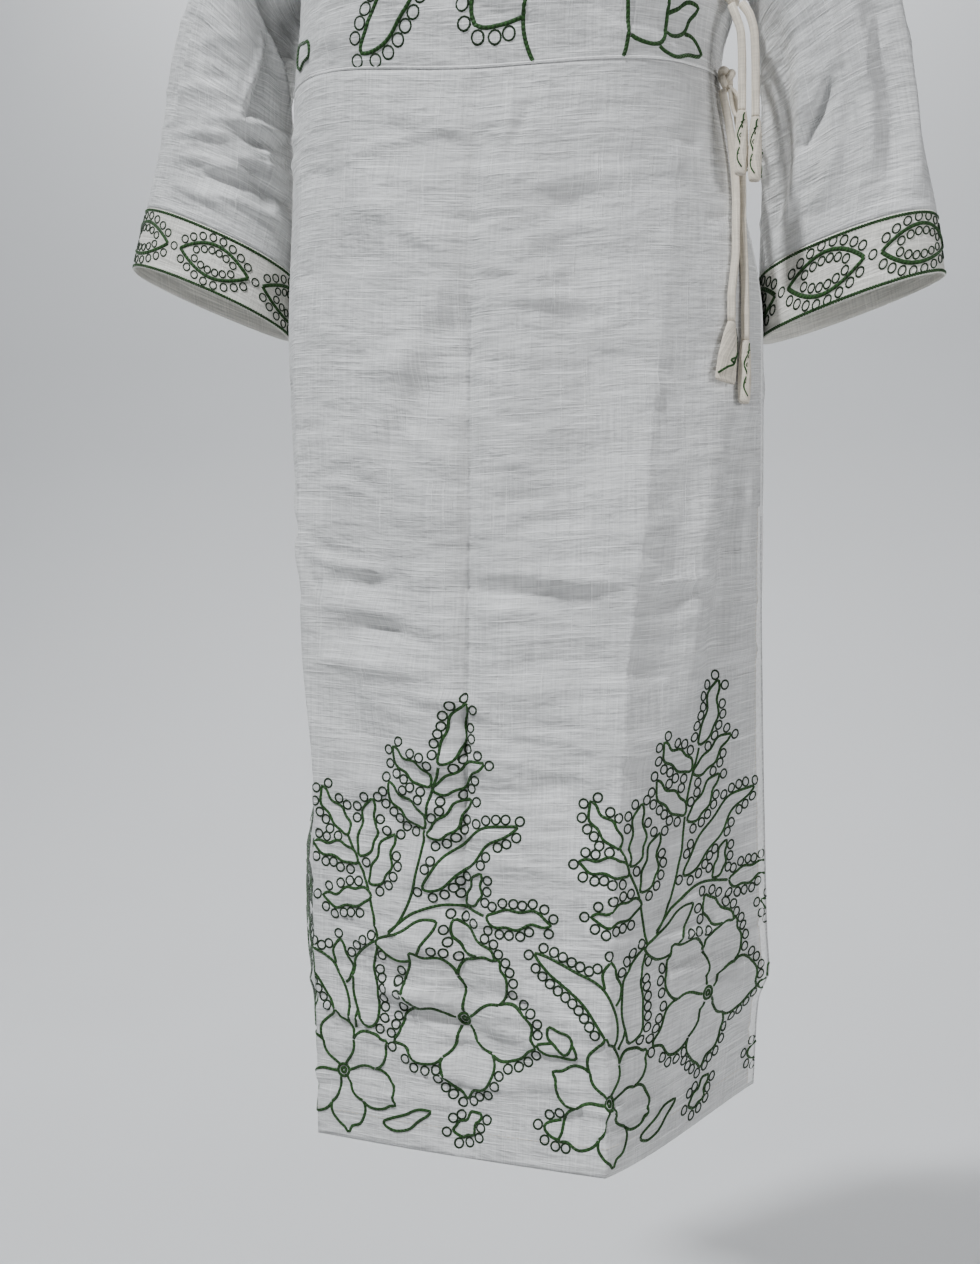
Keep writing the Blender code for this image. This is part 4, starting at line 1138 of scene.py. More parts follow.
def petal_outline(base, angle, length, width, step=0.0026):
    """Closed outline of one broad petal with a blunt end."""
    t = np.linspace(0, 1, 60)
    half = width / 2 * np.sin(math.pi * t ** 0.72) ** 0.6
    right = np.stack([half + 0.02 * width * np.sin(9 * t), t * length], axis=1)
    left = np.stack([-half + 0.02 * width * np.sin(8 * t + 1), t * length], axis=1)[::-1]
    outline = placed(np.vstack([right, left[1:]]), base, angle)
    return even_steps(outline, max(14, int(walked(outline)[-1] / step)))


def circle(centre, radius, count=12):
    """Closed flat circle."""
    angle = np.linspace(0, 2 * math.pi, count + 1)
    return np.stack([centre[0] + radius * np.cos(angle), centre[1] + radius * np.sin(angle)], axis=1)


def inside_outline(points, outline):
    """Whether each point lies inside a closed outline."""
    x, y = points[:, 0][:, None], points[:, 1][:, None]
    x0, y0 = outline[:-1, 0], outline[:-1, 1]
    x1, y1 = outline[1:, 0], outline[1:, 1]
    crosses = (y0 > y) != (y1 > y)
    rise = np.where(np.abs(y1 - y0) < 1e-12, 1e-12, y1 - y0)
    return (crosses & (x < (x1 - x0) * (y - y0) / rise + x0)).sum(axis=1) % 2 == 1


# Rings along an outline, as shares of their radius: the step between two, and how near two may stand
RING_STEP = 2.12
RING_APART = 1.86
RING_LINE_WIDTH = 0.0020
RING_LINE_HEIGHT = 0.0008

# Height of a thread and the distance from it to a ring's edge, as shares of the thread's width
THREAD_HEIGHT = 0.45
THREAD_REACH = 0.62
THREAD_CLEARANCE = 0.2


def shown_parts(path, fronts):
    """The stretches of a flat path that no shape in front of it covers."""
    hidden = np.zeros(len(path), bool)
    for outline in fronts:
        hidden |= inside_outline(path, outline)
    if not hidden.any():
        return [path]
    if np.allclose(path[0], path[-1]):
        start = int(np.argmax(hidden[:-1]))
        path = np.roll(path[:-1], -start, axis=0)
        hidden = np.roll(hidden[:-1], -start)
    breaks = np.flatnonzero(np.diff(hidden.astype(int))) + 1
    parts = np.split(np.arange(len(path)), breaks)
    return [path[part] for part in parts if not hidden[part[0]] and len(part) > 2]


def beads_round(outline, radius, pitch, off):
    """Centres of small rings that stand in a row outside an outline."""
    distance = walked(outline)
    count = max(3, round(distance[-1] / pitch))
    places = even_steps(outline, count)[:-1]
    tangent = np.roll(places, -1, axis=0) - np.roll(places, 1, axis=0)
    tangent /= np.maximum(np.linalg.norm(tangent, axis=1)[:, None], 1e-9)
    side = np.stack([-tangent[:, 1], tangent[:, 0]], axis=1)
    trial = places + side * radius * 0.6
    if inside_outline(trial, outline).mean() > 0.5:
        side = -side
    return places + side * off


def sorted_beads(candidates, outlines, lines, radius, apart, pitch):
    """The ring centres that keep clear of all lines, of the insides of motifs and of each other."""
    drawn = np.vstack(lines)
    kept = []
    for centre in candidates:
        if np.min(np.hypot(*(drawn - centre).T)) < radius * 0.9:
            continue
        if any(inside_outline(centre[None], outline)[0] for outline in outlines):
            continue
        if kept:
            gap = np.abs(np.array(kept) - centre)
            gap[:, 0] = np.minimum(gap[:, 0], np.abs(gap[:, 0] - pitch))
            if np.min(np.hypot(*gap.T)) < apart:
                continue
        kept.append(centre)
    return kept


# Hem embroidery, drawn for one repeat in millimetres across from its middle and up from the hem
Leaf = namedtuple("Leaf", "across up angle length width bend wave beads")
HEM_LEAVES = (
    Leaf(-18, 322, 22, 54, 17, 1, 1.5, 1),
    Leaf(-27, 303, -50, 46, 16, -2, 1.6, 1),
    Leaf(-25, 300, 62, 50, 15, 1, 1.5, 1),
    Leaf(-33, 268, -44, 48, 16, -2, 1.6, 1),
    Leaf(-30, 262, 50, 48, 16, 2, 1.6, 1),
    Leaf(-33, 218, 56, 98, 20, -6, 1.8, 1),
    Leaf(-82, 216, 26, 48, 17, 2, 1.7, 1),
    Leaf(-92, 238, 12, 50, 17, 2, 1.7, 1),
    Leaf(-104, 254, -34, 46, 15, -2, 1.5, 1),
    Leaf(-94, 232, -74, 46, 15, 2, 1.5, 1),
    Leaf(-80, 206, -96, 48, 16, -2, 1.7, 1),
    Leaf(2, 206, 28, 32, 13, 2, 1.2, 1),
    Leaf(22, 199, 96, 54, 16, -2, 1.7, 1),
    Leaf(-8, 194, 134, 54, 17, 2, 1.6, 1),
    Leaf(-74, 168, 66, 58, 26, 8, 0.5, 0),
    Leaf(-84, 96, 8, 76, 25, -9, 1.0, 1),
    Leaf(-104, 94, -42, 104, 22, 13, 0.7, 1),
    Leaf(-112, 128, 2, 38, 18, 3, 0.6, 1),
    Leaf(-146, 92, -36, 26, 15, 2, 0.3, 0),
    Leaf(-138, 90, -76, 34, 14, 2, 0.3, 0),
    Leaf(-164, 34, 96, 60, 18, -3, 0.4, 1),
    Leaf(-70, 18, 70, 46, 13, 3, 0.4, 0),
    Leaf(-8, 20, 56, 30, 14, 3, 1.8, 1),
)
HEM_STEMS = (
    ((-76, 162), (-52, 192), (-37, 236), (-31, 280), (-18, 322)),
    ((-72, 168), (-82, 208), (-94, 234), (-104, 254)),
    ((-62, 180), (-40, 198), (-12, 206), (22, 199)),
    ((-76, 162), (-86, 140), (-92, 118), (-96, 94)),
)
Flower = namedtuple("Flower", "across up petals turn radius wave beads")
HEM_FLOWERS = (
    Flower(0, 112, 5, -8, 64, 0.018, 1),
    Flower(-108, 56, 6, 20, 52, 0.012, 0),
)
HEM_REPEATS = 5
HEM_THREAD = 0.0029
HEM_BEAD = 0.0037


def draw_repeat(leaves, stems, flowers, thread, bead, pitch, step=0.0026):
    """Strands of one repeat of a pattern, in flat metres. A shape later in a table lies behind the others."""
    motifs = []
    for flower in flowers:
        centre = (flower.across * MM, flower.up * MM)
        rim, dividers = flower_lines(centre, flower.petals, flower.turn, flower.radius * MM, flower.wave,
                                     step)
        eyes = [circle(centre, 5.0 * MM, 14), circle(centre, 2.0 * MM)]
        motifs.append((rim, dividers + eyes, flower.beads))
    motifs += leaf_motifs(leaves, step) + stem_motifs(stems, step)
    return worked(motifs, thread, bead, pitch)


def leaf_motifs(leaves, step):
    """Each leaf of a table as an outline with no inner lines, and whether rings go round it."""
    motifs = []
    for leaf in leaves:
        base = (leaf.across * MM, leaf.up * MM)
        outline = leaf_outline(base, leaf.angle, leaf.length * MM, leaf.width * MM, leaf.bend * MM,
                               leaf.wave * MM, step)
        motifs.append((outline, [], leaf.beads))
    return motifs


def stem_motifs(stems, step):
    """Each stem of a table as a line without an outline."""
    return [(None, [curve_through(np.array(stem) * MM, step)], 0) for stem in stems]


def worked(motifs, thread, bead, pitch):
    """Strands and rings of motifs, each an outline with its inner lines and whether rings go round it."""
    beside = [np.array([across, 0]) for across in (-pitch, 0, pitch)]
    fronts, drawn, strands, candidates = [], [], [], []
    for outline, lines, ringed in motifs:
        neighbours = [front + shift for front in fronts for shift in beside]
        paths = ([] if outline is None else [outline]) + list(lines)
        for path in paths:
            for part in shown_parts(path, neighbours):
                strands.append(Strand(part, thread, thread * THREAD_HEIGHT))
                drawn.append(part)
        if outline is not None:
            fronts.append(outline)
            if ringed:
                candidates.extend(beads_round(outline, bead, bead * RING_STEP, bead + thread * THREAD_REACH))
    around = [front + shift for front in fronts for shift in beside]
    lines = [path + shift for path in drawn for shift in beside]
    reach = bead + thread * THREAD_CLEARANCE
    centres = sorted_beads(candidates, around, lines, reach, bead * RING_APART, pitch)
    return strands, [Strand(circle(centre, bead), RING_LINE_WIDTH, RING_LINE_HEIGHT) for centre in centres]


def shifted(strands, across, up=0.0):
    """The same strands moved over the cloth."""
    return [strand._replace(path=strand.path + np.array([across, up])) for strand in strands]


# Bodice embroidery, larger than the hem's, in millimetres from the centre front above the waist seam
BODICE_LEAVES = (
    Leaf(-98, 12, 26, 116, 28, 7, 1.6, 1),
    Leaf(-46, 122, -34, 70, 24, 4, 1.4, 1),
    Leaf(-20, 136, 14, 66, 22, 3, 1.4, 1),
    Leaf(-96, 122, -48, 60, 22, 3, 1.4, 1),
    Leaf(-196, 34, 112, 34, 24, 3, 0.6, 0),
    Leaf(152, 28, 66, 44, 20, 4, 0.6, 0),
    Leaf(146, 24, 104, 56, 22, 3, 0.6, 0),
)
BODICE_STEMS = (
    ((-44, 116), (-32, 126), (-20, 136)),
    ((-46, 122), (-70, 126), (-96, 122)),
)
Petal = namedtuple("Petal", "across up angle length width beads")
BODICE_PETALS = (
    Petal(80, -22, 2, 136, 84, 0),
    Petal(94, 108, 148, 112, 74, 0),
    Petal(74, 108, 223, 108, 72, 1),
    Petal(82, 118, 284, 80, 60, 1),
    Petal(88, 118, 345, 80, 62, 1),
    Petal(96, 116, 40, 78, 60, 1),
    Petal(98, 112, 92, 74, 56, 1),
)
BODICE_THREAD = 0.0038
BODICE_BEAD = 0.0050
BODICE_STEP = 0.003


def draw_bodice():
    """Strands of the bodice's large flower and leaves, in flat metres from the middle of the waist seam."""
    motifs = []
    for petal in BODICE_PETALS:
        outline = petal_outline((petal.across * MM, petal.up * MM), petal.angle, petal.length * MM,
                                petal.width * MM, BODICE_STEP)
        motifs.append((outline, [], petal.beads))
    motifs += leaf_motifs(BODICE_LEAVES, BODICE_STEP) + stem_motifs(BODICE_STEMS, BODICE_STEP)
    return worked(motifs, BODICE_THREAD, BODICE_BEAD, 1.0)


def bead_line(path, radius, pitch, off, thread):
    """Rings along one side of a line, off to its left."""
    count = max(2, round(walked(path)[-1] / pitch))
    places = even_steps(path, count)
    tangent = np.gradient(places, axis=0)
    tangent /= np.linalg.norm(tangent, axis=1)[:, None]
    side = np.stack([-tangent[:, 1], tangent[:, 0]], axis=1)
    return [Strand(circle(centre, radius), thread, thread * 0.6) for centre in places + side * off]


CuffChain = namedtuple("CuffChain", "lenses gap half_height bead thread")
CUFF_CHAIN = CuffChain(5, 0.0145, 0.0148, 0.0034, 0.0036)


def cuff_strands(cloth, phase):
    """The cuff's chain of lens shapes, ringed inside and out."""
    chain = CUFF_CHAIN
    around = float(cloth.across[0, -1])
    height = float(cloth.up[-1])
    pitch = around / chain.lenses
    middle = height * 0.5
    t = np.linspace(0, 1, 26)
    bold = []
    rings = []
    for k in range(chain.lenses):
        start = phase + k * pitch
        length = pitch - chain.gap
        across = start + t * length
        bulge = chain.half_height * np.sin(math.pi * t) ** 0.9
        for sign in (1, -1):
            arc = np.stack([across, middle + sign * bulge], axis=1)
            bold.append(Strand(arc, chain.thread, chain.thread * 0.5))
            core = arc[3:-3] if sign < 0 else arc[3:-3][::-1]
            rings += bead_line(arc[2:-2] if sign > 0 else arc[2:-2][::-1], chain.bead, 0.0088,
                               chain.bead + 0.0024, 0.0016)
            rings += bead_line(core[2:-2], chain.bead * 0.92, 0.0082, chain.bead + 0.0022, 0.0016)
        rings.append(Strand(circle((start - chain.gap / 2, middle), chain.bead), 0.0016, 0.0008))
    return bold, rings


def cuff_braid(cloth, up):
    """Two strands that cross over each other along the cuff."""
    around = float(cloth.across[0, -1])
    across = np.arange(0, around, 0.0012)
    wave = 0.0009 * np.sin(across * 2 * math.pi / 0.0052)
    first = Strand(np.stack([across, up + wave], axis=1), 0.0017, 0.0010)
    second = Strand(np.stack([across, up - wave], axis=1), 0.0017, 0.0008)
    return [first, second]


def stitches(path, length, gap, width):
    """A running stitch along a flat path."""
    total = walked(path)[-1]
    count = int(total / (length + gap))
    strands = []
    distance = walked(path)
    for k in range(count):
        stops = np.linspace(k * (length + gap), k * (length + gap) + length, 3)
        points = np.stack([np.interp(stops, distance, path[:, i]) for i in range(2)], axis=1)
        strands.append(Strand(points, width, width * 0.5))
    return strands


class KurtaSizes(bpy.types.PropertyGroup):
    cloth_wall: bpy.props.FloatProperty(
        name="Cloth wall", description="Thickness of the cotton with its turned edges", default=0.0008,
        min=0.0003, max=0.002, precision=4, unit="LENGTH")
    crease_share: bpy.props.FloatProperty(
        name="Creases", description="Share of each crease's full depth", default=1.6, min=0.0, max=2.0)
    seam_width: bpy.props.FloatProperty(
        name="Seam width", description="Width of the ridge where two pieces are sewn", default=0.0024,
        min=0.0005, max=0.006, precision=4, unit="LENGTH")
    hem_turn: bpy.props.FloatProperty(
        name="Hem turn", description="Height of the turned hem", default=0.022, min=0.005, max=0.05,
        unit="LENGTH")
    slit_turn: bpy.props.FloatProperty(
        name="Slit turn", description="Width of the turned edge along each side slit", default=0.009,
        min=0.003, max=0.02, unit="LENGTH")


class KurtaColours(bpy.types.PropertyGroup):
    cloth: bpy.props.FloatVectorProperty(
        name="Cloth", description="Off-white of the body and sleeves", subtype="COLOR", size=4,
        default=(0.74, 0.74, 0.73, 1.0), min=0, max=1)
    cuff: bpy.props.FloatVectorProperty(
        name="Cuffs", description="Warm cream of the cuff bands", subtype="COLOR", size=4,
        default=(0.80, 0.785, 0.73, 1.0), min=0, max=1)
    tie: bpy.props.FloatVectorProperty(
        name="Ties", description="Cream of the strings and tabs", subtype="COLOR", size=4,
        default=(0.76, 0.70, 0.60, 1.0), min=0, max=1)
    # The darker green is also the painted shade between the links and at the thread's sides
    thread_dark_and_shade: bpy.props.FloatVectorProperty(
        name="Dark thread", description="Green between the links of the stitch", subtype="COLOR", size=4,
        default=(0.008, 0.024, 0.006, 1.0), min=0, max=1)
    # The lighter green is also the painted highlight on the backs of the links
    thread_light_and_highlight: bpy.props.FloatVectorProperty(
        name="Light thread", description="Green on the backs of the links", subtype="COLOR", size=4,
        default=(0.046, 0.150, 0.028, 1.0), min=0, max=1)
    paper: bpy.props.FloatVectorProperty(
        name="Backdrop", description="Pale paper of the floor and the backdrop", subtype="COLOR", size=4,
        default=(0.59, 0.595, 0.60, 1.0), min=0, max=1)


class KURTA_OT_stage(bpy.types.Operator):
    """Sets up the camera, the soft lights, the floor and the backdrop"""

    bl_idname = "kurta.stage"
    bl_label = "Stage"

    def execute(self, context):
        colours = context.scene.kurta_colours
        camera_data = bpy.data.cameras.new("camera")
        camera_data.sensor_fit = "HORIZONTAL"
        camera_data.sensor_width = 36.0
        camera_data.lens = 36.0 * CAMERA_FOCAL_SHARE
        camera_data.shift_y = CAMERA_RISE_SHARE
        camera = bpy.data.objects.new("camera", camera_data)
        camera.location = CAMERA_PLACE
        camera.rotation_euler = (math.radians(90), 0, math.radians(CAMERA_TURN))
        context.scene.collection.objects.link(camera)
        context.scene.camera = camera

        paper = backdrop_paper("paper", colours.paper)
        bm = bmesh.new()
        bmesh.ops.create_grid(bm, x_segments=2, y_segments=40, size=1.0)
        for vert in bm.verts:
            along = (vert.co.y + 1) / 2 * 12.0 - 5.0
            turn = np.clip((along - 2.0) / 2.4, 0, 1) * math.pi / 2
            rise = max(0.0, along - 4.4)
            vert.co = (vert.co.x * 7.0, min(along, 2.0) + 1.5 * math.sin(turn),
                       FLOOR_Z + 1.5 * (1 - math.cos(turn)) + rise)
        for face in bm.faces:
            face.smooth = True
        sweep = linked("paper_sweep", bm)
        sweep.data.materials.append(paper)

        Light = namedtuple("Light", "name place aim power size colour")
        lights = (
            Light("key", (-2.2, -3.6, 4.9), (0, 0, -0.7), 405, 0.5, (0.945, 0.97, 1.0)),
            Light("fill", (3.8, -2.2, 0.2), (0.1, 0, -0.7), 56, 1.2, (0.97, 0.975, 1.0)),
            Light("front", (-0.6, -4.6, -0.6), (0, 0, -0.7), 8, 1.6, (0.98, 0.985, 1.0)),
            Light("back", (-0.6, 3.2, 2.6), (0, 2.2, -0.6), 190, 2.4, (0.98, 0.99, 1.0)),
        )
        for light in lights:
            data = bpy.data.lights.new(light.name, "AREA")
            data.shape = "SQUARE"
            data.size = light.size
            data.energy = light.power
            data.color = light.colour
            obj = bpy.data.objects.new(light.name, data)
            obj.location = light.place
            aim = Vector(light.aim) - Vector(light.place)
            obj.rotation_euler = aim.to_track_quat("-Z", "Y").to_euler()
            context.scene.collection.objects.link(obj)

        world = bpy.data.worlds.new("studio")
        world.use_nodes = True
        world.node_tree.nodes["Background"].inputs["Color"].default_value = (0.93, 0.95, 1.0, 1.0)
        world.node_tree.nodes["Background"].inputs["Strength"].default_value = 0.045
        context.scene.world = world
        context.scene.view_settings.view_transform = "AgX"
        context.scene.view_settings.look = "AgX - Medium High Contrast"
        return {"FINISHED"}


class KURTA_OT_cut(bpy.types.Operator):
    """Works out the cloth and its creases, and mixes the finishes"""

    bl_idname = "kurta.cut"
    bl_label = "Cut and Crease"

    def execute(self, context):
        colours = context.scene.kurta_colours
        make_cloths(context.scene.kurta_sizes)
        FINISHES["cloth"] = cotton("kurta_cotton", colours.cloth, 1.0, 0.9)
        FINISHES["cuff"] = cotton("cuff_cotton", colours.cuff, 0.8, 0.5)
        FINISHES["tie"] = cotton("tie_cotton", colours.tie, 0.5, 0.3, lengthways=True)
        # The stitch and ring finishes blend their two greens as painted highlight and shade on the links
        FINISHES["thread"] = chain_thread("green_chain_stitch", colours.thread_dark_and_shade, colours.thread_light_and_highlight,
                                          0.0034)
        FINISHES["ring"] = chain_thread("green_ring_stitch", shade(colours.thread_dark_and_shade, 0.7),
                                        shade(colours.thread_light_and_highlight, 0.38), 0.0024)
        # Seam ridges and turned edges: the cloth's colour 1.26 times lighter, a painted highlight on the
        # ridges and partly the lighter look of doubled cloth
        FINISHES["seam"] = plain_thread("seam_cotton", shade(colours.cloth, 1.26))
        FINISHES["sewing"] = plain_thread("sewing_thread", shade(colours.tie, 1.0))
        return {"FINISHED"}


class KURTA_OT_ties(bpy.types.Operator):
    """Makes the knots, the free strings and the tabs at their ends"""

    bl_idname = "kurta.ties"
    bl_label = "Ties"

    def execute(self, context):
        for tab in TABS:
            route = np.array(STRINGS[tab.string])
            foot = route[-1]
            rows = tab.rows
            drop = np.array([row.drop for row in rows])
            stops = np.linspace(0, drop[-1], 26)[::-1]
            share = stops / drop[-1]
            path = np.stack([foot[0] + tab.lean[0] * share, foot[1] + tab.lean[1] * share,
                             foot[2] - TAB_GAP - stops], axis=1)
            half_width = np.interp(stops, drop, [row.half_width for row in rows])
            half_depth = np.interp(stops, drop, [row.half_depth for row in rows])
            turn = math.radians(tab.turn)
            wide = (math.cos(turn), math.sin(turn), 0)
            cloth = tube_cloth(f"{tab.name}_cloth", path, half_width, half_depth, wide, 32)
            CLOTHS[tab.name] = cloth
            obj = closed_tube(cloth)
            dress(obj, FINISHES["tie"], "tie_cloth", tab.name)
            self.tab_stitch(tab, cloth)

        for knot in KNOTS:
            self.wound_knot(knot)

        for tab in TABS:
            route = np.array(STRINGS[tab.string])
            distance = walked(route)
            path = np.array([smooth_through(distance, route, at) for at in np.linspace(distance[-1], 0, 40)])
            cloth = tube_cloth(f"{tab.string}_cord", path, STRING_WIDTH / 2, STRING_DEPTH / 2,
                               (1, -0.4, 0), 14)
            obj = closed_tube(cloth)
            dress(obj, FINISHES["tie"], "tie_cloth", tab.string)
        return {"FINISHED"}

    def tab_stitch(self, tab, cloth):
        """The green lines on a tab, and the small rings on a rolled one."""
        around = float(cloth.across[10, -1])
        height = float(cloth.up[-1])
        lines = []
        if tab.rows is FLAT_TAB:
            lines.append(((0.62, 0.92), (0.80, 0.78), (0.90, 0.52), (0.91, 0.34), (0.76, 0.24), (0.58, 0.10)))
            lines.append(((0.91, 0.34), (0.80, 0.37), (0.91, 0.44)))
        else:
            lines.append(((0.60, 0.96), (0.66, 0.80), (0.60, 0.62), (0.70, 0.44), (0.62, 0.24), (0.72, 0.06)))
            lines.append(((0.80, 0.90), (0.90, 0.72), (0.82, 0.56), (0.92, 0.36), (0.84, 0.18), (0.90, 0.05)))
            lines.append(((0.62, 0.80), (0.74, 0.86), (0.88, 0.80)))
            lines.append(((0.70, 0.20), (0.78, 0.28), (0.84, 0.18), (0.76, 0.10), (0.70, 0.20)))
        scale = np.array([around, height])
        width = 0.0024 if tab.rows is FLAT_TAB else 0.0017
        curves = [curve_through(np.array(line) * scale, 0.0015) for line in lines]
        strands = [Strand(curve, width, width * 0.5) for curve in curves]
        for k in range(4):
            centre = np.array([0.71 + 0.03 * (k % 2), 0.34 + 0.13 * k]) * scale
            if tab.rows is not FLAT_TAB:
                strands.append(Strand(circle(centre, 0.0019), 0.0011, 0.0006))
        obj = strand_object(f"{tab.name}_stitch", cloth, strands)
        return dress(obj, FINISHES["thread"], "thread")

    def wound_knot(self, knot):
        """A string wound through itself and pulled tight, with a short loop left over at the waist."""
        thick = 0.0034
        turn = np.linspace(0, 2 * math.pi, 97)
        across = (np.sin(turn) + 2 * np.sin(2 * turn)) / 3 * (knot.size[0] - thick)
        rise = (np.cos(turn) - 2 * np.cos(2 * turn)) / 3 * (knot.size[2] - thick)
        depth = -np.sin(3 * turn) * (knot.size[1] - thick)
        centre = np.array(knot.centre)
        path = centre + np.stack([across, depth, rise], axis=1)
        parts = [tube_cloth(knot.name, path, thick, thick * 0.86, (0.3, 1.0, 0.2), 14)]
        if knot.name == "waist_knot":
            loop = curve_round((centre + [0.002, -0.004, -0.008], centre + [0.010, -0.006, -0.018],
                                centre + [0.014, -0.007, -0.028], centre + [0.010, -0.007, -0.036],
                                centre + [0.006, -0.006, -0.030], centre + [0.003, -0.005, -0.012]), 36)
            parts.append(tube_cloth("loop", loop, 0.0021, 0.0017, (0.3, 1.0, 0.2), 12))
        objects = [cloth_object(part) for part in parts]
        bm = bmesh.new()
        for obj in objects:
            bm.from_mesh(obj.data)
        bmesh.ops.holes_fill(bm, edges=bm.edges)
        bmesh.ops.recalc_face_normals(bm, faces=bm.faces)
        for obj in objects:
            bpy.data.objects.remove(obj, do_unlink=True)
        obj = linked(f"{knot.name}_wound", bm)
        return dress(obj, FINISHES["tie"], "tie_cloth", knot.name)


def curve_round(points, count):
    """Points in space at even steps along a soft curve through a few places."""
    points = np.array(points, float)
    distance = walked(points)
    fine = np.array([smooth_through(distance, points, at) for at in np.linspace(0, distance[-1], 6 * count)])
    return even_steps(fine, count)


class KURTA_OT_body(bpy.types.Operator):
    """Makes the front and back of the bodice and of the skirt"""

    bl_idname = "kurta.body"
    bl_label = "Bodice and Skirt"

    def execute(self, context):
        wall = context.scene.kurta_sizes.cloth_wall
        for name in ("front_bodice", "back_bodice", "front_skirt", "back_skirt"):
            dress(cloth_object(CLOTHS[name], wall), FINISHES["cloth"], "cloth", name)
            hang_sheet(CLOTHS[name])
        return {"FINISHED"}


class KURTA_OT_sleeves(bpy.types.Operator):
    """Makes the sleeves and their cuffs"""

    bl_idname = "kurta.sleeves"
    bl_label = "Sleeves and Cuffs"

    def execute(self, context):
        wall = context.scene.kurta_sizes.cloth_wall
        for side in ("right", "left"):
            sleeve = f"{side}_sleeve"
            cuff = f"{side}_cuff"
            dress(cloth_object(CLOTHS[sleeve], wall), FINISHES["cloth"], "cloth", sleeve)
            hang_sheet(CLOTHS[sleeve])
            dress(cloth_object(CLOTHS[cuff], wall * 1.5), FINISHES["cuff"], "cuff_cloth", cuff)
            hang_sheet(CLOTHS[cuff])
        return {"FINISHED"}


class KURTA_OT_seams(bpy.types.Operator):
    """Makes the seam ridges, the turned edges and the rows of stitches"""

    bl_idname = "kurta.seams"
    bl_label = "Seams and Hems"

    def execute(self, context):
        sizes = context.scene.kurta_sizes
        for name in ("front_bodice", "back_bodice"):
            cloth = CLOTHS[name]
            strands = [Strand(self.row_path(cloth, sizes.seam_width * 0.55), sizes.seam_width, 0.0011)]
            for column in (0, -1):
                edge = self.edge_path(cloth, column, 0.0, cloth.up[BODICE_LOW_ROWS])
                strands.append(Strand(edge, 0.0020, 0.0007))
            strands.append(Strand(self.row_path(cloth, cloth.up[-1] - 0.0016), 0.0026, 0.0009))
            obj = strand_object(f"{name}_seams", cloth, strands)
            dress(obj, FINISHES["seam"], "cloth")
        for name in ("front_skirt", "back_skirt"):
            cloth = CLOTHS[name]
            slit_top = (1 - SLIT_TOP_DROP) * SKIRT_LENGTH
            strands = []
            for column in (0, -1):
                strands.append(Strand(self.edge_path(cloth, column, slit_top, cloth.up[-1]), 0.0018, 0.0006))
            sewn = stitches(self.row_path(cloth, sizes.hem_turn), 0.0026, 0.0014, 0.0007)
            for column in (0, -1):
                edge = self.edge_path(cloth, column, 0.004, slit_top + 0.012)
                inwards = sizes.slit_turn * (1 if column == 0 else -1)
                sewn += stitches(edge + np.array([inwards, 0]), 0.0026, 0.0014, 0.0007)
                band = edge + np.array([inwards / 2, 0])
                strands.append(Strand(band, abs(inwards) * 0.96, 0.0007))
            obj = strand_object(f"{name}_seams", cloth, strands)
            dress(obj, FINISHES["seam"], "cloth")
            obj = strand_object(f"{name}_sewing", cloth, sewn)
            dress(obj, FINISHES["sewing"], "cloth")
        for side in ("right", "left"):
            cloth = CLOTHS[f"{side}_sleeve"]
            obj = strand_object(f"{side}_armhole_seam", cloth,
                                [Strand(self.row_path(cloth, cloth.up[-1] - 0.0014), 0.0024, 0.0008)])
            dress(obj, FINISHES["seam"], "cloth")
        return {"FINISHED"}

    def row_path(self, cloth, up):
        """A flat path all the way across a cloth at one height."""
        row = int(np.argmin(np.abs(cloth.up - up)))
        start = cloth.across[row, 0] + 0.001
        end = cloth.across[row, -1] - 0.001
        if cloth.closed:
            start, end = 0.0, cloth.across[row, -1]
        across = np.arange(start, end, 0.004)
        across = np.append(across, end)
        return np.stack([across, np.full(len(across), up)], axis=1)

    def edge_path(self, cloth, column, low, high):
        """A flat path close along one of a cloth's side edges."""
        up = np.arange(low, high, 0.006)
        edge = np.interp(up, cloth.up, cloth.across[:, column])
        return np.stack([edge + (0.0013 if column == 0 else -0.0013), up], axis=1)


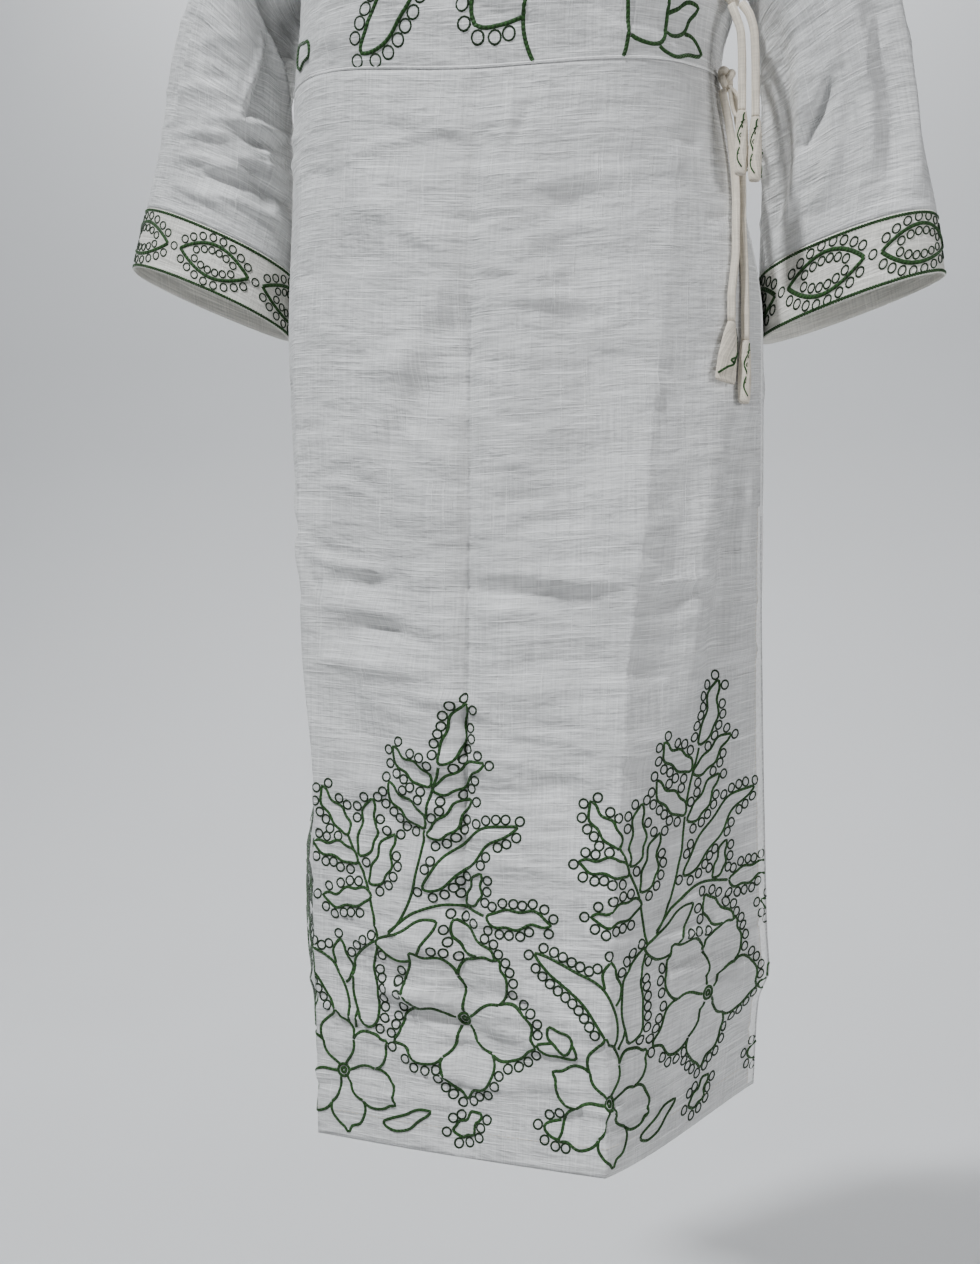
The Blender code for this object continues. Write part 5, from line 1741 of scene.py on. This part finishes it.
class KURTA_OT_embroidery(bpy.types.Operator):
    """Works the green embroidery of the hem, the bodice and the cuffs"""

    bl_idname = "kurta.embroidery"
    bl_label = "Embroidery"

    def execute(self, context):
        around = float(CLOTHS["back_skirt"].across[40, -1] - CLOTHS["front_skirt"].across[40, 0])
        pitch = around / HEM_REPEATS
        strands, rings = draw_repeat(HEM_LEAVES, HEM_STEMS, HEM_FLOWERS, HEM_THREAD, HEM_BEAD, pitch)
        for name in ("front_skirt", "back_skirt"):
            cloth = CLOTHS[name]
            low, high = cloth.across.min(), cloth.across.max()
            worked, ringed = [], []
            for k in range(-3, 7):
                if low - pitch < k * pitch < high + pitch:
                    worked += shifted(strands, k * pitch)
                    ringed += shifted(rings, k * pitch)
            self.stitch(name, cloth, worked, ringed)

        strands, rings = draw_bodice()
        self.stitch("front_bodice", CLOTHS["front_bodice"], strands, rings)
        middle = float(CLOTHS["back_bodice"].across[0].mean())
        self.stitch("back_bodice", CLOTHS["back_bodice"], shifted(strands, middle), shifted(rings, middle))

        for side, phase in (("right", 0.0004), ("left", 0.0122)):
            cloth = CLOTHS[f"{side}_cuff"]
            bold, ringed = cuff_strands(cloth, phase)
            bold += cuff_braid(cloth, 0.0022) + cuff_braid(cloth, float(cloth.up[-1]) - 0.0022)
            self.stitch(f"{side}_cuff", cloth, bold, ringed)
        return {"FINISHED"}

    def stitch(self, name, cloth, strands, rings):
        """Lays the bold outlines and the fine rings on one cloth."""
        for kind, part, finish in (("stitch", strands, "thread"), ("rings", rings, "ring")):
            obj = strand_object(f"{name}_{kind}", cloth, part)
            dress(obj, FINISHES[finish], "thread")


class KURTA_PT_panel(bpy.types.Panel):
    """Lists the steps that build the tunic"""

    bl_idname = "KURTA_PT_panel"
    bl_label = "Kurta Tunic"
    bl_space_type = "VIEW_3D"
    bl_region_type = "UI"
    bl_category = "Kurta"

    def draw(self, context):
        for group in (context.scene.kurta_sizes, context.scene.kurta_colours):
            for key in group.bl_rna.properties.keys():
                if key not in ("rna_type", "name"):
                    self.layout.prop(group, key)
        for operator in STEPS:
            self.layout.operator(operator.bl_idname)


STEPS = (KURTA_OT_stage, KURTA_OT_cut, KURTA_OT_ties, KURTA_OT_body, KURTA_OT_sleeves, KURTA_OT_seams,
         KURTA_OT_embroidery)
CLASSES = (KurtaSizes, KurtaColours) + STEPS + (KURTA_PT_panel,)


def register():
    for cls in CLASSES:
        bpy.utils.register_class(cls)
    bpy.types.Scene.kurta_sizes = bpy.props.PointerProperty(type=KurtaSizes)
    bpy.types.Scene.kurta_colours = bpy.props.PointerProperty(type=KurtaColours)


def unregister():
    del bpy.types.Scene.kurta_colours
    del bpy.types.Scene.kurta_sizes
    for cls in reversed(CLASSES):
        bpy.utils.unregister_class(cls)


def build_tunic():
    """Runs every step in order."""
    register()
    bpy.ops.kurta.stage()
    bpy.ops.kurta.cut()
    bpy.ops.kurta.ties()
    bpy.ops.kurta.body()
    bpy.ops.kurta.sleeves()
    bpy.ops.kurta.seams()
    bpy.ops.kurta.embroidery()


if __name__ == "__main__":
    build_tunic()
